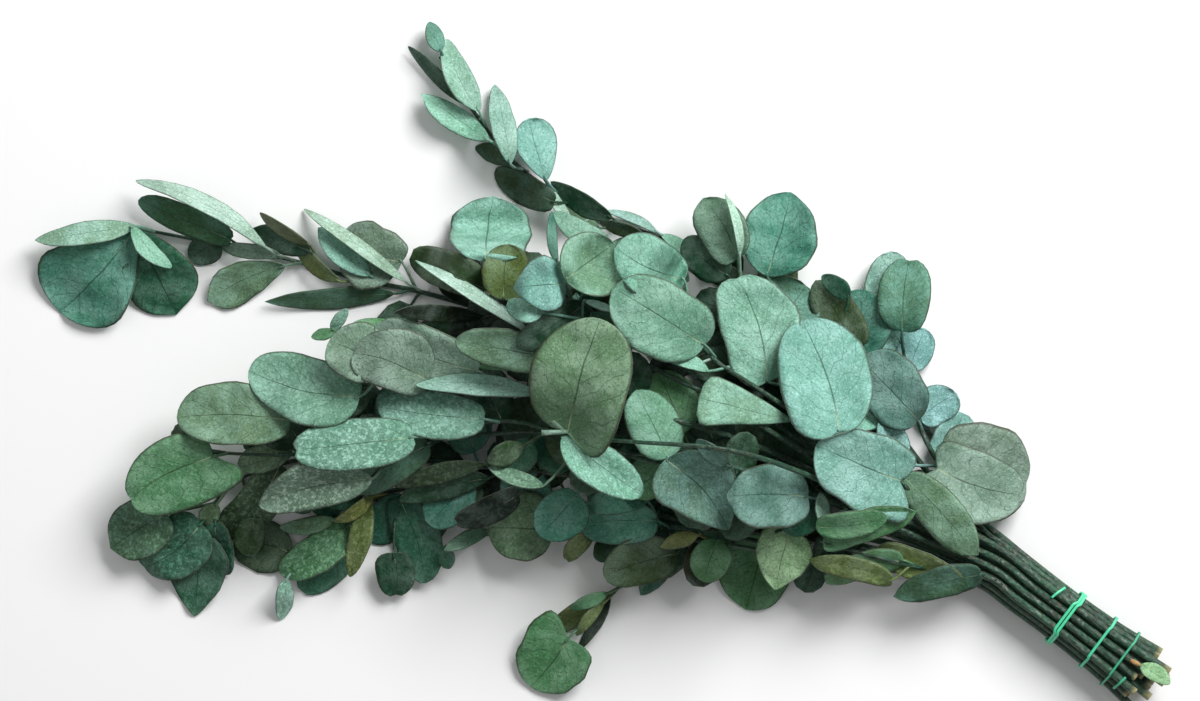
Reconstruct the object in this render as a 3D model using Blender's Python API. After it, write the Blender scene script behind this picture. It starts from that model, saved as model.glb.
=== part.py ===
"""Bunch of preserved silver-dollar eucalyptus: 24 leafy stems tied near their cut ends, lying down.

The stems sit side by side in five rows inside the ties and fan out from there. They are laid one
after another, bottom row first, and each stem and leaf comes to rest on what already lies below it.
"""

import math
import random

import bmesh
import bpy
import numpy as np
from mathutils import Vector

MM = 0.001

# The bundle of stems inside the ties, in millimetres.
TIE_CENTRE = (230.0, -127.0)
TO_TIPS = (-0.8, 0.6)
ACROSS = (0.6, 0.8)
STEM_PITCH = 4.7
ROW_RISE = 4.07
ROW_COUNTS = (4, 5, 6, 5, 4)
FAN_LENGTH = 45.0
FAN_BASE = 3.0
FAN_RISE = 7.0
FAN_MORE = 2.0
BUNDLE_KNOTS = 6
BUTT_RADIUS = 2.1
TIP_RADIUS = 0.8
TIE_SLACK = 0.35
BUNDLE_HEIGHT = 2 * ROW_RISE + BUTT_RADIUS + TIE_SLACK + 1.4

# Rubber ties: distance from the first tie toward the cut ends, width, thickness, colour.
TIES = (
    ("tie_main", 0.0, 3.2, 1.4, (75, 205, 155)),
    ("tie_middle", 21.0, 1.8, 1.4, (72, 196, 150)),
    ("tie_end", 35.0, 1.3, 1.1, (58, 160, 122)),
)

# Leaves: thickness, and the room that a laid surface keeps to what lies below it. Leaves of one
# stem keep less, because they may touch.
LEAF_THICK = 0.7
LEAF_ROOM = 2.0
OWN_ROOM = 0.6
STEM_ROOM = 1.3
PETIOLE_HALF = 0.8
MOST_EDGE_RISE = 8.0
SEED = 450

# A stem runs about level with the leaves beside it: how far it feels for them, and how far it may
# lie below the highest.
SIDE_REACH = 14.0
SIDE_DROP = 5.0

# The plan grid on which the height of the pile is kept.
CELL = 2.0
HALF_X = 340.0
HALF_Y = 220.0

# Leaf tones from the photograph, sRGB.
TONES = {
    "teal": (84, 140, 124),
    "deep": (54, 94, 80),
    "mint": (136, 186, 166),
    "pale": (164, 202, 188),
    "blue": (142, 188, 184),
    "slate": (90, 130, 122),
    "green": (88, 136, 96),
    "leaf": (112, 148, 124),
    "sage": (108, 138, 106),
    "grey": (126, 150, 134),
    "lichen": (134, 152, 128),
    "moss": (58, 82, 52),
    "olive": (112, 128, 76),
    "gold": (134, 140, 84),
    "lime": (148, 182, 140),
    "cream": (200, 222, 200),
    "brown": (102, 106, 74),
    "dusk": (124, 168, 148),
    "dark": (38, 64, 48),
    "black": (20, 36, 28),
}

# Pale leaves turn their faces to this side in plan, and dark ones away from it.
BRIGHT_SIDE = (0.6, 0.8)
PALE_FACED = ("pale", "cream", "mint", "blue", "lime", "dusk")
DARK_FACED = ("dark", "black", "moss", "olive", "deep", "brown")

# Every stem: name, row and place in the row, its route in plan from the bundle to its tip, and its
# leaves from the lowest to the highest: base x, y, tip x, y, width, tone and form. A form is flat
# (f), folded along the midrib (b), on edge (e), heart-shaped at the base (h), widest toward the tip
# (o), pointed (p) or wedge-shaped (w).
STEMS = (
    ("stem_bottom_sprig", 0, 0, ((150, -104), (105, -100), (60, -92), (35, -97), (8, -111), (-6, -122)), (
        (81, -88, 70, -123, 36, "dark", "f"),
        (30, -100, 17, -116, 12, "dark", "e"),
        (1, -117, -15, -144, 6, "black", "e"),
        (0, -116, -30, -136, 12, "olive", "e"),
        (-2, -120, -16, -137, 6, "olive", "e"),
        (0, -115, -19, -123, 7, "green", "e"),
        (-20, -138, -39, -163, 38, "green", "h"),
    )),
    ("stem_lower_left", 0, 1, ((150, -96), (100, -88), (50, -80), (0, -72), (-50, -66), (-100, -62),
                               (-125, -72), (-148, -92), (-162, -107)), (
        (-105, -68, -92, -110, 24, "deep", "f"),
        (-108, -95, -107, -117, 20, "dark", "f"),
        (-130, -85, -155, -115, 20, "deep", "f"),
        (-131, -81, -166, -105, 20, "green", "f"),
        (-162, -108, -166, -129, 9, "pale", "e"),
        (-138, -78, -166, -82, 9, "green", "e"),
        (-120, -68, -130, -107, 12, "olive", "e"),
        (-118, -66, -138, -79, 7, "gold", "e"),
    )),
    ("stem_left_sprig", 0, 2, ((150, -78), (100, -50), (50, -18), (0, 8), (-50, 24), (-95, 37),
                               (-125, 43), (-160, 53), (-197, 61), (-238, 69)), (
        (-108, 36, -171, 32, 11, "dark", "e"),
        (-104, 52, -134, 66, 33, "grey", "f"),
        (-120, 45, -146, 69, 14, "slate", "e"),
        (-102, 42, -154, 79, 7, "cream", "e"),
        (-135, 42, -160, 65, 8, "olive", "e"),
        (-150, 57, -182, 67, 14, "dark", "e"),
        (-150, 60, -176, 77, 6, "brown", "e"),
        (-163, 50, -201, 33, 21, "olive", "o"),
        (-165, 55, -196, 60, 8, "grey", "e"),
        (-196, 62, -212, 54, 15, "dark", "f"),
        (-190, 63, -237, 83, 15, "dark", "f"),
        (-172, 59, -238, 93, 9, "cream", "e"),
        (-238, 68, -219, 27, 37, "teal", "f"),
        (-239, 68, -277, 27, 50, "teal", "f"),
        (-238, 70, -288, 63, 12, "pale", "e"),
        (-240, 70, -220, 49, 9, "pale", "e"),
    )),
    ("stem_right_back", 0, 3, ((193, -84), (184, -66), (171, -48), (160, -30), (153, -8), (148, 14)), (
        (168, -48, 180, -24, 20, "blue", "f"),
        (158, -27, 176, -15, 20, "teal", "f"),
        (152, -2, 160, 18, 20, "mint", "f"),
        (147, 18, 143, 57, 26, "pale", "f"),
        (147, 13, 128, 18, 17, "teal", "f"),
    )),
    ("stem_lower_middle", 1, 0, ((150, -100), (100, -94), (50, -84), (15, -80), (-15, -83), (-50, -84),
                                 (-80, -90)), (
        (-83, -92, -80, -103, 9, "dark", "e"),
        (-60, -84, -82, -93, 8, "olive", "e"),
        (-28, -83, -60, -82, 35, "sage", "f"),
        (2, -85, -5, -99, 12, "dark", "f"),
        (-8, -84, -21, -99, 10, "olive", "f"),
        (34, -95, -2, -106, 24, "moss", "f"),
        (24, -78, -14, -80, 22, "slate", "f"),
        (20, -68, -12, -72, 14, "teal", "e"),
    )),
    ("stem_far_left_low", 1, 1, ((150, -92), (100, -80), (50, -68), (0, -58), (-50, -52), (-100, -48),
                                 (-140, -46), (-165, -50), (-190, -60), (-205, -79)), (
        (-45, -65, -77, -79, 14, "black", "f"),
        (-60, -57, -105, -68, 14, "moss", "e"),
        (-62, -50, -108, -61, 10, "olive", "e"),
        (-165, -50, -197, -87, 22, "moss", "f"),
        (-160, -42, -186, -52, 14, "olive", "f"),
        (-178, -78, -182, -96, 15, "dark", "f"),
        (-197, -70, -205, -84, 10, "brown", "e"),
        (-198, -80, -193, -107, 16, "deep", "f"),
        (-208, -85, -209, -127, 32, "deep", "p"),
        (-205, -80, -235, -103, 32, "deep", "f"),
        (-222, -75, -250, -92, 30, "deep", "f"),
    )),
    ("stem_far_left", 1, 2, ((150, -84), (100, -62), (50, -45), (0, -36), (-50, -34), (-110, -40),
                             (-160, -45), (-200, -44)), (
        (-90, -40, -130, -62, 20, "deep", "f"),
        (-203, -42, -219, -32, 14, "brown", "f"),
        (-198, -46, -241, -68, 38, "green", "h"),
    )),
    ("stem_top_sprig", 1, 3, ((158, -66), (120, -25), (85, 10), (50, 48), (28, 64), (0, 72), (-28, 88),
                              (-48, 103), (-70, 131), (-85, 156)), (
        (27, 66, 46, 50, 7, "grey", "e"),
        (29, 53, 41, 42, 6, "pale", "e"),
        (25, 67, 0, 78, 5, "pale", "e"),
        (19, 64, -4, 72, 7, "dark", "e"),
        (-4, 69, -25, 80, 7, "olive", "e"),
        (2, 74, -28, 92, 11, "black", "e"),
        (-18, 70, -31, 91, 6, "pale", "e"),
        (-27, 82, -57, 99, 15, "dark", "f"),
        (-33, 95, -48, 112, 5, "dark", "e"),
        (-47, 101, -67, 110, 10, "dark", "e"),
        (-31, 93, -40, 124, 21, "mint", "o"),
        (-49, 101, -57, 141, 13, "pale", "e"),
        (-60, 113, -93, 136, 13, "mint", "e"),
        (-70, 131, -101, 161, 7, "dark", "e"),
        (-65, 128, -82, 165, 14, "pale", "e"),
        (-84, 158, -90, 173, 9, "pale", "e"),
    )),
    ("stem_upper_back", 1, 4, ((176, -70), (158, -50), (142, -28), (122, -3), (100, 20), (83, 42)), (
        (122, -10, 115, 20, 20, "deep", "f"),
        (78, 14, 100, 40, 36, "teal", "f"),
        (125, 8, 105, 42, 22, "moss", "f"),
        (121, 33, 108, 45, 10, "deep", "e"),
        (80, 45, 92, 86, 38, "teal", "b"),
    )),
    ("stem_low_short", 2, 0, ((160, -104), (125, -101), (95, -97), (60, -90), (36, -88)), (
        (45, -85, 27, -91, 8, "gold", "e"),
        (55, -88, 48, -109, 20, "green", "f"),
    )),
    ("stem_mottled", 2, 1, ((150, -88), (100, -72), (50, -56), (0, -42), (-50, -28), (-97, -37),
                            (-118, -56)), (
        (-32, -60, -59, -51, 8, "pale", "e"),
        (-42, -40, -60, -48, 12, "olive", "e"),
        (-62, -27, -115, -21, 24, "teal", "f"),
        (-118, -57, -174, -70, 24, "grey", "b"),
        (-97, -36, -158, -43, 26, "teal", "f"),
    )),
    ("stem_middle_left", 2, 2, ((150, -80), (100, -52), (50, -32), (0, -20), (-35, -14), (-62, -6),
                                (-94, -10), (-125, -6), (-163, -14)), (
        (-159, -28, -216, -26, 32, "leaf", "f"),
        (-124, -16, -180, -3, 34, "leaf", "f"),
        (-138, 16, -130, 28, 6, "green", "e"),
        (-136, 17, -148, 14, 6, "green", "e"),
        (-103, 20, -127, 21, 6, "green", "e"),
        (-115, 0, -139, 12, 30, "grey", "f"),
        (-65, -3, -115, 19, 25, "leaf", "f"),
        (-90, -8, -127, 6, 32, "grey", "f"),
        (-30, -3, -64, -1, 7, "green", "e"),
        (-35, -14, -95, -10, 11, "lichen", "e"),
    )),
    ("stem_centre_left", 2, 3, ((150, -72), (100, -40), (50, -8), (10, 12), (-20, 22), (-52, 33),
                                (-60, 50)), (
        (-62, 24, -105, 26, 9, "black", "e"),
        (-62, 38, -100, 56, 20, "moss", "f"),
        (-61, 52, -58, 84, 41, "mint", "f"),
        (-39, 16, -94, 51, 7, "cream", "e"),
        (-52, 33, -50, 60, 24, "gold", "f"),
        (-25, 50, -28, 77, 5, "mint", "e"),
    )),
    ("stem_upper", 2, 4, ((163, -68), (116, -33), (80, -3), (68, 25), (66, 48)), (
        (70, 42, 46, 48, 12, "moss", "e"),
        (60, 45, 38, 63, 18, "dark", "f"),
        (65, 54, 48, 83, 25, "leaf", "f"),
        (66, 54, 59, 85, 5, "cream", "e"),
        (80, -8, 64, 45, 40, "mint", "f"),
    )),
    ("stem_right_front", 2, 5, ((182, -72), (160, -38), (152, -10), (148, 14)), (
        (140, -22, 118, -30, 12, "teal", "e"),
        (148, -50, 138, -27, 15, "blue", "f"),
        (156, -28, 126, 3, 32, "blue", "f"),
        (148, 17, 152, 54, 27, "teal", "f"),
    )),
    ("stem_low_pale", 3, 0, ((160, -98), (125, -90), (98, -80), (84, -84)), (
        (91, -84, 84, -113, 29, "lime", "p"),
    )),
    ("stem_centre_low", 3, 1, ((150, -86), (105, -66), (60, -50), (30, -46), (12, -44)), (
        (103, -65, 90, -85, 18, "deep", "f"),
        (30, -46, 14, -13, 26, "teal", "f"),
        (29, -47, 60, -82, 38, "dusk", "b"),
        (60, -50, 44, -37, 9, "blue", "e"),
    )),
    ("stem_centre", 3, 2, ((150, -78), (100, -45), (50, -15), (10, 5), (-15, 25), (-21, 39)), (
        (-28, 4, -75, 12, 20, "leaf", "f"),
        (-12, 30, -45, 9, 17, "dark", "f"),
        (-33, 26, -50, 31, 12, "mint", "f"),
        (-8, 26, 22, 12, 12, "dark", "e"),
        (-12, 32, 6, 26, 4, "pale", "e"),
        (0, 62, -27, 76, 12, "grey", "e"),
        (-21, 40, -47, 38, 28, "blue", "f"),
        (-21, 42, 3, 60, 34, "grey", "b"),
    )),
    ("stem_centre_right", 3, 3, ((155, -70), (110, -35), (75, -12), (48, 8), (38, 40)), (
        (42, 0, 30, 11, 8, "pale", "e"),
        (50, -3, 30, 3, 7, "mint", "e"),
        (38, 43, 4, 58, 30, "blue", "f"),
        (48, 10, 3, 38, 38, "mint", "f"),
        (93, -28, 45, -16, 26, "teal", "w"),
    )),
    ("stem_right_pair", 3, 4, ((188, -82), (168, -56)), (
        (166, -52, 213, -60, 51, "sage", "f"),
        (165, -52, 209, -66, 38, "mint", "h"),
    )),
    ("stem_slate", 4, 1, ((155, -86), (105, -66), (78, -62)), (
        (107, -80, 106, -64, 8, "cream", "e"),
        (100, -66, 60, -65, 32, "slate", "f"),
    )),
    ("stem_broad", 4, 2, ((150, -78), (100, -55), (60, -42), (15, -38), (-21, -36)), (
        (-23, -36, 17, -65, 22, "teal", "b"),
        (-20, -33, -4, 23, 50, "sage", "h"),
    )),
    ("stem_crown", 4, 3, ((165, -74), (146, -58), (117, -34)), (
        (148, -56, 184, -94, 22, "lichen", "f"),
        (146, -58, 104, -40, 40, "mint", "h"),
        (115, -33, 97, 23, 46, "mint", "h"),
    )),
    ("stem_low_top", 4, 0, ((155, -101), (130, -95), (106, -88)), (
        (178, -113, 135, -92, 16, "olive", "f"),
        (187, -105, 145, -116, 16, "deep", "f"),
        (148, -98, 108, -108, 14, "green", "f"),
        (108, -90, 152, -74, 16, "green", "f"),
        (142, -108, 102, -98, 12, "olive", "f"),
        (104, -81, 139, -76, 14, "green", "f"),
    )),
)

# Smaller leaves that fill the depth of the bunch: they grow in opposite pairs from the stems of the
# lower rows, and stay inside this outline of the dense foliage, in plan.
FILL_ROWS = 2
FILL_SPACING = 66.0
FILL_LENGTH = (24.0, 36.0)
DENSE_OUTLINE = (
    (-108, 44), (-60, 68), (0, 58), (45, 72), (92, 74), (108, 42), (150, 42), (155, 8), (182, -26),
    (205, -56), (186, -92), (140, -116), (70, -118), (0, -103), (-60, -90), (-110, -106), (-200, -98),
    (-214, -60), (-195, -20), (-140, 8),
)


class Pile:
    """Height of what has been laid so far, on a plan grid, and where leaves of the table show."""

    def __init__(self):
        shape = (int(2 * HALF_X / CELL), int(2 * HALF_Y / CELL))
        self.top = np.full(shape, LEAF_THICK - LEAF_ROOM)
        self.shown = np.zeros(shape, bool)
        self.wide = self.top.copy()
        self.under = self.top.copy()

    def cells(self, x, y):
        i = np.clip(((np.asarray(x) + HALF_X) / CELL).astype(int), 0, self.top.shape[0] - 1)
        j = np.clip(((np.asarray(y) + HALF_Y) / CELL).astype(int), 0, self.top.shape[1] - 1)
        return i, j

    def height(self, x, y):
        return self.wide[self.cells(x, y)]

    def height_under_stem(self, x, y):
        return self.under[self.cells(x, y)]

    def finish_stem(self):
        """What was laid for one stem, its own leaves too, now lies under the next one."""
        self.under = self.wide.copy()

    def add(self, x, y, z):
        np.maximum.at(self.top, self.cells(x, y), z)
        self.wide = self.top.copy()
        for axis in (0, 1):
            for step in (-1, 1):
                self.wide = np.maximum(self.wide, np.roll(self.wide, step, axis))

    def mark_shown(self, x, y):
        self.shown[self.cells(x, y)] = True

    def share_shown(self, x, y):
        return float(self.shown[self.cells(x, y)].mean())


def slot(row, place):
    """Offset of a stem across the bundle and up from its axis."""
    return (place - (ROW_COUNTS[row] - 1) / 2) * STEM_PITCH, (row - 2) * ROW_RISE


def bundle_point(along, across, up):
    """A point of the bundle at a distance from the first tie, positive toward the tips."""
    spread = 1 + 0.28 * max(0.0, -along / 50) ** 2 + 0.12 * max(0.0, along / 50) ** 2
    x = TIE_CENTRE[0] + TO_TIPS[0] * along + ACROSS[0] * across * spread
    y = TIE_CENTRE[1] + TO_TIPS[1] * along + ACROSS[1] * across * spread
    return x, y, BUNDLE_HEIGHT + up


def lay_stem(pile, row, place, route, rng):
    """Knots of a stem from its cut end to its tip, in millimetres, resting on the pile."""
    across, up = slot(row, place)
    butt = -46 - 14 * rng.random()
    knots = [bundle_point(along, across, up) for along in (butt, -35, -21, 0, 24, 46)]
    neck = knots[-1]
    for x, y in route:
        fanned = math.dist(neck[:2], (x, y)) / FAN_LENGTH
        spread = FAN_BASE + (FAN_RISE + FAN_MORE * min(1.0, max(0.0, fanned - 1))) * row
        knots.append((x, y, neck[2] + min(1.0, fanned) * (spread - neck[2])))
    held = BUNDLE_KNOTS + 1
    knots = np.array(knots, float)
    radii = np.interp(np.arange(len(knots)), (0, BUNDLE_KNOTS - 1, len(knots) - 1),
                      (BUTT_RADIUS, 1.85, TIP_RADIUS))
    share = np.linspace(0, 1, 16)
    needs = []
    for k in range(len(knots) - 1):
        line = knots[k, :2] + share[:, None] * (knots[k + 1, :2] - knots[k, :2])
        need = pile.height(line[:, 0], line[:, 1]) + STEM_ROOM + radii[k]
        if k < held - 1:
            need[:] = -10
        elif k == held - 1:
            need[:5] = -10
        needs.append(need)
    wanted = knots[:, 2].copy()
    turns = np.linspace(0, 2 * math.pi, 17)
    for k in range(held, len(knots)):
        x = knots[k, 0] + SIDE_REACH * np.cos(turns)
        y = knots[k, 1] + SIDE_REACH * np.sin(turns)
        nearby = pile.height(x, y).max() - SIDE_DROP
        wanted[k] = max(nearby, wanted[k] if k == held else 0.0)
    knots[:, 2] = settle([share] * len(needs), needs, wanted, held)
    return knots, radii


def along_line(knots, per_gap):
    """Points on a polyline, with per_gap points for each stretch between knots."""
    share = np.arange(per_gap)[:, None] / per_gap
    parts = [a + share * (b - a) for a, b in zip(knots[:-1], knots[1:])]
    return np.vstack(parts + [knots[-1:]])


def stem_cover(knots, radii):
    """Plan points and top heights of a stem's tube."""
    line = along_line(np.column_stack([knots, radii]), 24)
    heading = np.gradient(line[:, :2], axis=0)
    heading /= np.linalg.norm(heading, axis=1)[:, None] + 1e-9
    side = np.column_stack([-heading[:, 1], heading[:, 0]])
    rows = [line[:, :2] + side * line[:, 3:] * o for o in (-1, 0, 1)]
    plan = np.vstack(rows)
    return plan[:, 0], plan[:, 1], np.tile(line[:, 2] + line[:, 3], 3)


def find_root(knots, base):
    """Point on a stem's axis from which a petiole leads to the leaf's base."""
    line = along_line(knots[BUNDLE_KNOTS - 1:], 24)
    gaps = np.linalg.norm(line[:, :2] - np.array(base), axis=1)
    near = int(gaps.argmin())
    back = min(12.0, max(7.0, 0.7 * gaps[near]))
    while near > 0 and back > 0:
        back -= np.linalg.norm(line[near, :2] - line[near - 1, :2])
        near -= 1
    return line[near]


# Where the blade's cross rows lie between base and tip, and their share of the half width.
BLADE_ROWS = {
    "f": ((0.16, 0.82), (0.5, 1.0), (0.84, 0.66)),
    "b": ((0.18, 0.78), (0.5, 1.0), (0.82, 0.68)),
    "e": ((0.3, 0.92), (0.74, 0.84)),
    "h": ((0.03, 0.74), (0.42, 1.0), (0.82, 0.7)),
    "o": ((0.34, 0.74), (0.68, 1.0), (0.9, 0.62)),
    "p": ((0.16, 0.8), (0.45, 1.0), (0.76, 0.6)),
    "w": ((0.5, 0.56), (0.88, 1.0)),
    "s": ((0.3, 0.96), (0.74, 0.86)),
}
FOLDS = {"f": 0.1, "b": 0.5, "e": 0.16, "h": 0.08, "o": 0.1, "p": 0.12, "w": 0.05, "s": 0.1}


def settle(shares, needs, wanted, held):
    """Heights of knots, as low as wanted, so that the straight runs between them clear the needs.

    The first held knots stay at their wanted height. Each later one starts high enough for the runs
    on both of its sides, and then sinks as far as its neighbours allow.
    """
    count = len(wanted)
    z = np.array(wanted, float)
    for k in range(held, count):
        both = [needs[k - 1].max()] + ([needs[k].max()] if k < count - 1 else [])
        z[k] = max(z[k], *both)
    for sweep in range(5):
        for k in range(held, count):
            low = [wanted[k]]
            a = shares[k - 1]
            use = a > 0.05
            low.append(((needs[k - 1] - (1 - a) * z[k - 1]) / np.maximum(a, 0.05))[use].max())
            if k < count - 1:
                a = 1 - shares[k]
                use = a > 0.05
                low.append(((needs[k] - (1 - a) * z[k + 1]) / np.maximum(a, 0.05))[use].max())
            z[k] = max(z[k], *low) if sweep == 0 else min(z[k], max(low))
    return z


def lay_leaf(pile, root, leaf, rng):
    """Rows of a leaf's surface: centre, sideways reach and heights of both edges, in millimetres."""
    x0, y0, x1, y1, width, tone, form = leaf
    base = np.array((x0, y0), float)
    tip = np.array((x1, y1), float)
    root = np.asarray(root[:3]) + [rng.uniform(-0.25, 0.25) for _ in range(3)]
    length = float(np.linalg.norm(tip - base))
    heading = (tip - base) / length
    side = np.array((heading[1], -heading[0]))
    rows = BLADE_ROWS[form]
    bend = rng.uniform(-0.05, 0.05) * length
    centres = [root[:2], base] + [base + heading * length * u + side * bend * math.sin(math.pi * u)
                                  for u, _ in rows] + [tip]
    centres = np.array(centres)
    reach = np.array([PETIOLE_HALF, PETIOLE_HALF] + [0.5 * width * w for _, w in rows] + [0.0])
    true_width = 0.86 * length
    rise = math.sqrt(max(0.0, true_width ** 2 - width ** 2))
    turned = rng.choice((-1, 1))
    if tone in PALE_FACED + DARK_FACED:
        turned = -1 if side @ np.array(BRIGHT_SIDE) > 0 else 1
        if tone in DARK_FACED:
            turned = -turned
    rise = min(rise, MOST_EDGE_RISE) * turned * rng.uniform(0.7, 1.0)
    tilt = rise * reach / max(width, 1e-6)
    tilt[:2] = 0
    fold = FOLDS[form] * reach
    fold[:2] = 0

    def offset(across, k):
        return tilt[k] * across + fold[k] * abs(across)

    count = len(centres)
    along = np.concatenate([[0], np.cumsum(np.linalg.norm(np.diff(centres, axis=0), axis=1))])
    lift = math.tan(math.radians(rng.uniform(-14, 16)))
    droop = rng.uniform(0.0, 0.16)
    petiole = along[1]
    wanted = np.array([root[2] + 0.3 * petiole + lift * max(0.0, s - petiole)
                       - droop * max(0.0, s - petiole) ** 2 / length for s in along])
    wanted[0] = root[2]
    shares = []
    needs = []
    t = np.linspace(-1, 1, 13)
    for k in range(count - 1):
        share = np.linspace(0.35 if k == 0 else 0.0, 1, 9)[:, None]
        middle = centres[k] + share * (centres[k + 1] - centres[k])
        half = (reach[k] + share * (reach[k + 1] - reach[k])) * t
        x = middle[:, :1] + side[0] * half
        y = middle[:, 1:] + side[1] * half
        dz = (1 - share) * offset(t, k) + share * offset(t, k + 1)
        shares.append(share[:, 0])
        clear = pile.height_under_stem(x, y) + LEAF_ROOM
        if k > 0:
            clear = np.maximum(clear, pile.height(x, y) + OWN_ROOM)
        needs.append((clear - dz).max(axis=1))
    z = settle(shares, needs, wanted, 1)
    return {"centres": np.column_stack([centres, z]), "reach": reach, "side": side, "tilt": tilt,
            "fold": fold, "tone": tone, "form": form, "length": length, "width": width}


def leaf_point(leaf, k, across):
    """A point of a leaf's surface on row k, across from -1 to 1."""
    x, y, z = leaf["centres"][k]
    reach = leaf["reach"][k] * across
    return (x + leaf["side"][0] * reach, y + leaf["side"][1] * reach,
            z + leaf["tilt"][k] * across + leaf["fold"][k] * abs(across))


def leaf_cover(leaf):
    """Plan points and heights over a leaf's surface."""
    points = []
    across = np.linspace(-1, 1, 15)
    for k in range(len(leaf["reach"]) - 1):
        first = np.array([leaf_point(leaf, k, t) for t in across])
        last = np.array([leaf_point(leaf, k + 1, t) for t in across])
        steps = max(4, int(np.linalg.norm(last[7] - first[7]) / 1.2))
        for a in np.linspace(0, 1, steps + 1):
            points.append(first + a * (last - first))
    points = np.vstack(points)
    return points[:, 0], points[:, 1], points[:, 2]


def inside(outline, x, y):
    """Whether plan points lie inside a closed outline."""
    x = np.asarray(x)
    y = np.asarray(y)
    odd = np.zeros(x.shape, bool)
    ends = outline[1:] + outline[:1]
    for (ax, ay), (bx, by) in zip(outline, ends):
        crosses = (ay > y) != (by > y)
        odd ^= crosses & (x < (bx - ax) * (y - ay) / (by - ay + 1e-9) + ax)
    return odd


def fill_leaves(pile, knots, rng):
    """Pairs of smaller leaves along a stem, where no leaf of the table shows yet."""
    line = along_line(knots[BUNDLE_KNOTS + 1:], 24)
    walked = np.concatenate([[0], np.cumsum(np.linalg.norm(np.diff(line[:, :2], axis=0), axis=1))])
    placed = []
    distance = rng.uniform(45, 60)
    while distance < walked[-1] - 6:
        k = int(np.searchsorted(walked, distance))
        heading = line[min(k + 1, len(line) - 1), :2] - line[k - 1, :2]
        angle = math.atan2(heading[1], heading[0])
        for hand in (-1, 1):
            turn = angle + hand * math.radians(rng.uniform(38, 80))
            length = rng.uniform(*FILL_LENGTH)
            petiole = rng.uniform(7, 12)
            way = np.array((math.cos(turn), math.sin(turn)))
            base = line[k, :2] + way * petiole
            tip = base + way * length
            middle = base + way * length * np.linspace(0, 1, 7)[:, None]
            if not inside(DENSE_OUTLINE, middle[:, 0], middle[:, 1]).all():
                continue
            if pile.share_shown(middle[:, 0], middle[:, 1]) > 0.3:
                continue
            tone = rng.choice(("deep", "dark", "moss", "teal", "green"))
            leaf = (base[0], base[1], tip[0], tip[1], length * rng.uniform(0.7, 0.95), tone, "s")
            laid = lay_leaf(pile, line[k], leaf, rng)
            pile.add(*leaf_cover(laid))
            placed.append(laid)
        distance += FILL_SPACING * rng.uniform(0.8, 1.2)
    return placed


def lay_bunch():
    """All stems with their leaves, laid from the bottom row up."""
    pile = Pile()
    bunch = []
    for number, (name, row, place, route, leaves) in enumerate(STEMS):
        rng = random.Random(SEED + number)
        knots, radii = lay_stem(pile, row, place, route, rng)
        laid = []
        if row < FILL_ROWS:
            laid += fill_leaves(pile, knots, rng)
        for leaf in leaves:
            placed = lay_leaf(pile, find_root(knots, leaf[:2]), leaf, rng)
            x, y, z = leaf_cover(placed)
            pile.add(x, y, z)
            pile.mark_shown(x, y)
            laid.append(placed)
        pile.add(*stem_cover(knots, radii))
        pile.finish_stem()
        bunch.append((name, knots, radii, laid))
    return bunch


def linear(tone):
    """Linear colour of an sRGB tone."""
    return [((c / 255 + 0.055) / 1.055) ** 2.4 if c > 10 else c / 255 / 12.92 for c in tone]


def make_material(name, tone, roughness):
    material = bpy.data.materials.new(name)
    material.use_nodes = True
    shader = material.node_tree.nodes["Principled BSDF"]
    shader.inputs["Base Color"].default_value = (*linear(tone), 1)
    shader.inputs["Roughness"].default_value = roughness
    shader.inputs["Metallic"].default_value = 0.0
    return material


def make_object(name, bm, collection):
    bmesh.ops.recalc_face_normals(bm, faces=bm.faces[:])
    mesh = bpy.data.meshes.new(name)
    bm.to_mesh(mesh)
    bm.free()
    made = bpy.data.objects.new(name, mesh)
    collection.objects.link(made)
    return made


def stem_mesh(knots, radii, sides=5):
    """A tapered tube along a stem's knots, closed at both ends."""
    bm = bmesh.new()
    points = [Vector(p) for p in knots]
    rings = []
    for k, point in enumerate(points):
        ahead = (points[min(k + 1, len(points) - 1)] - points[max(k - 1, 0)]).normalized()
        right = ahead.cross(Vector((0, 0, 1))).normalized()
        up = right.cross(ahead)
        ring = []
        for i in range(sides):
            turn = 2 * math.pi * (i + 0.25) / sides
            spot = point + (right * math.cos(turn) + up * math.sin(turn)) * float(radii[k])
            ring.append(bm.verts.new(spot * MM))
        rings.append(ring)
    for low, high in zip(rings[:-1], rings[1:]):
        for i in range(sides):
            j = (i + 1) % sides
            bm.faces.new((low[i], low[j], high[j], high[i]))
    bm.faces.new(rings[0][::-1])
    bm.faces.new(rings[-1])
    return bm


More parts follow.
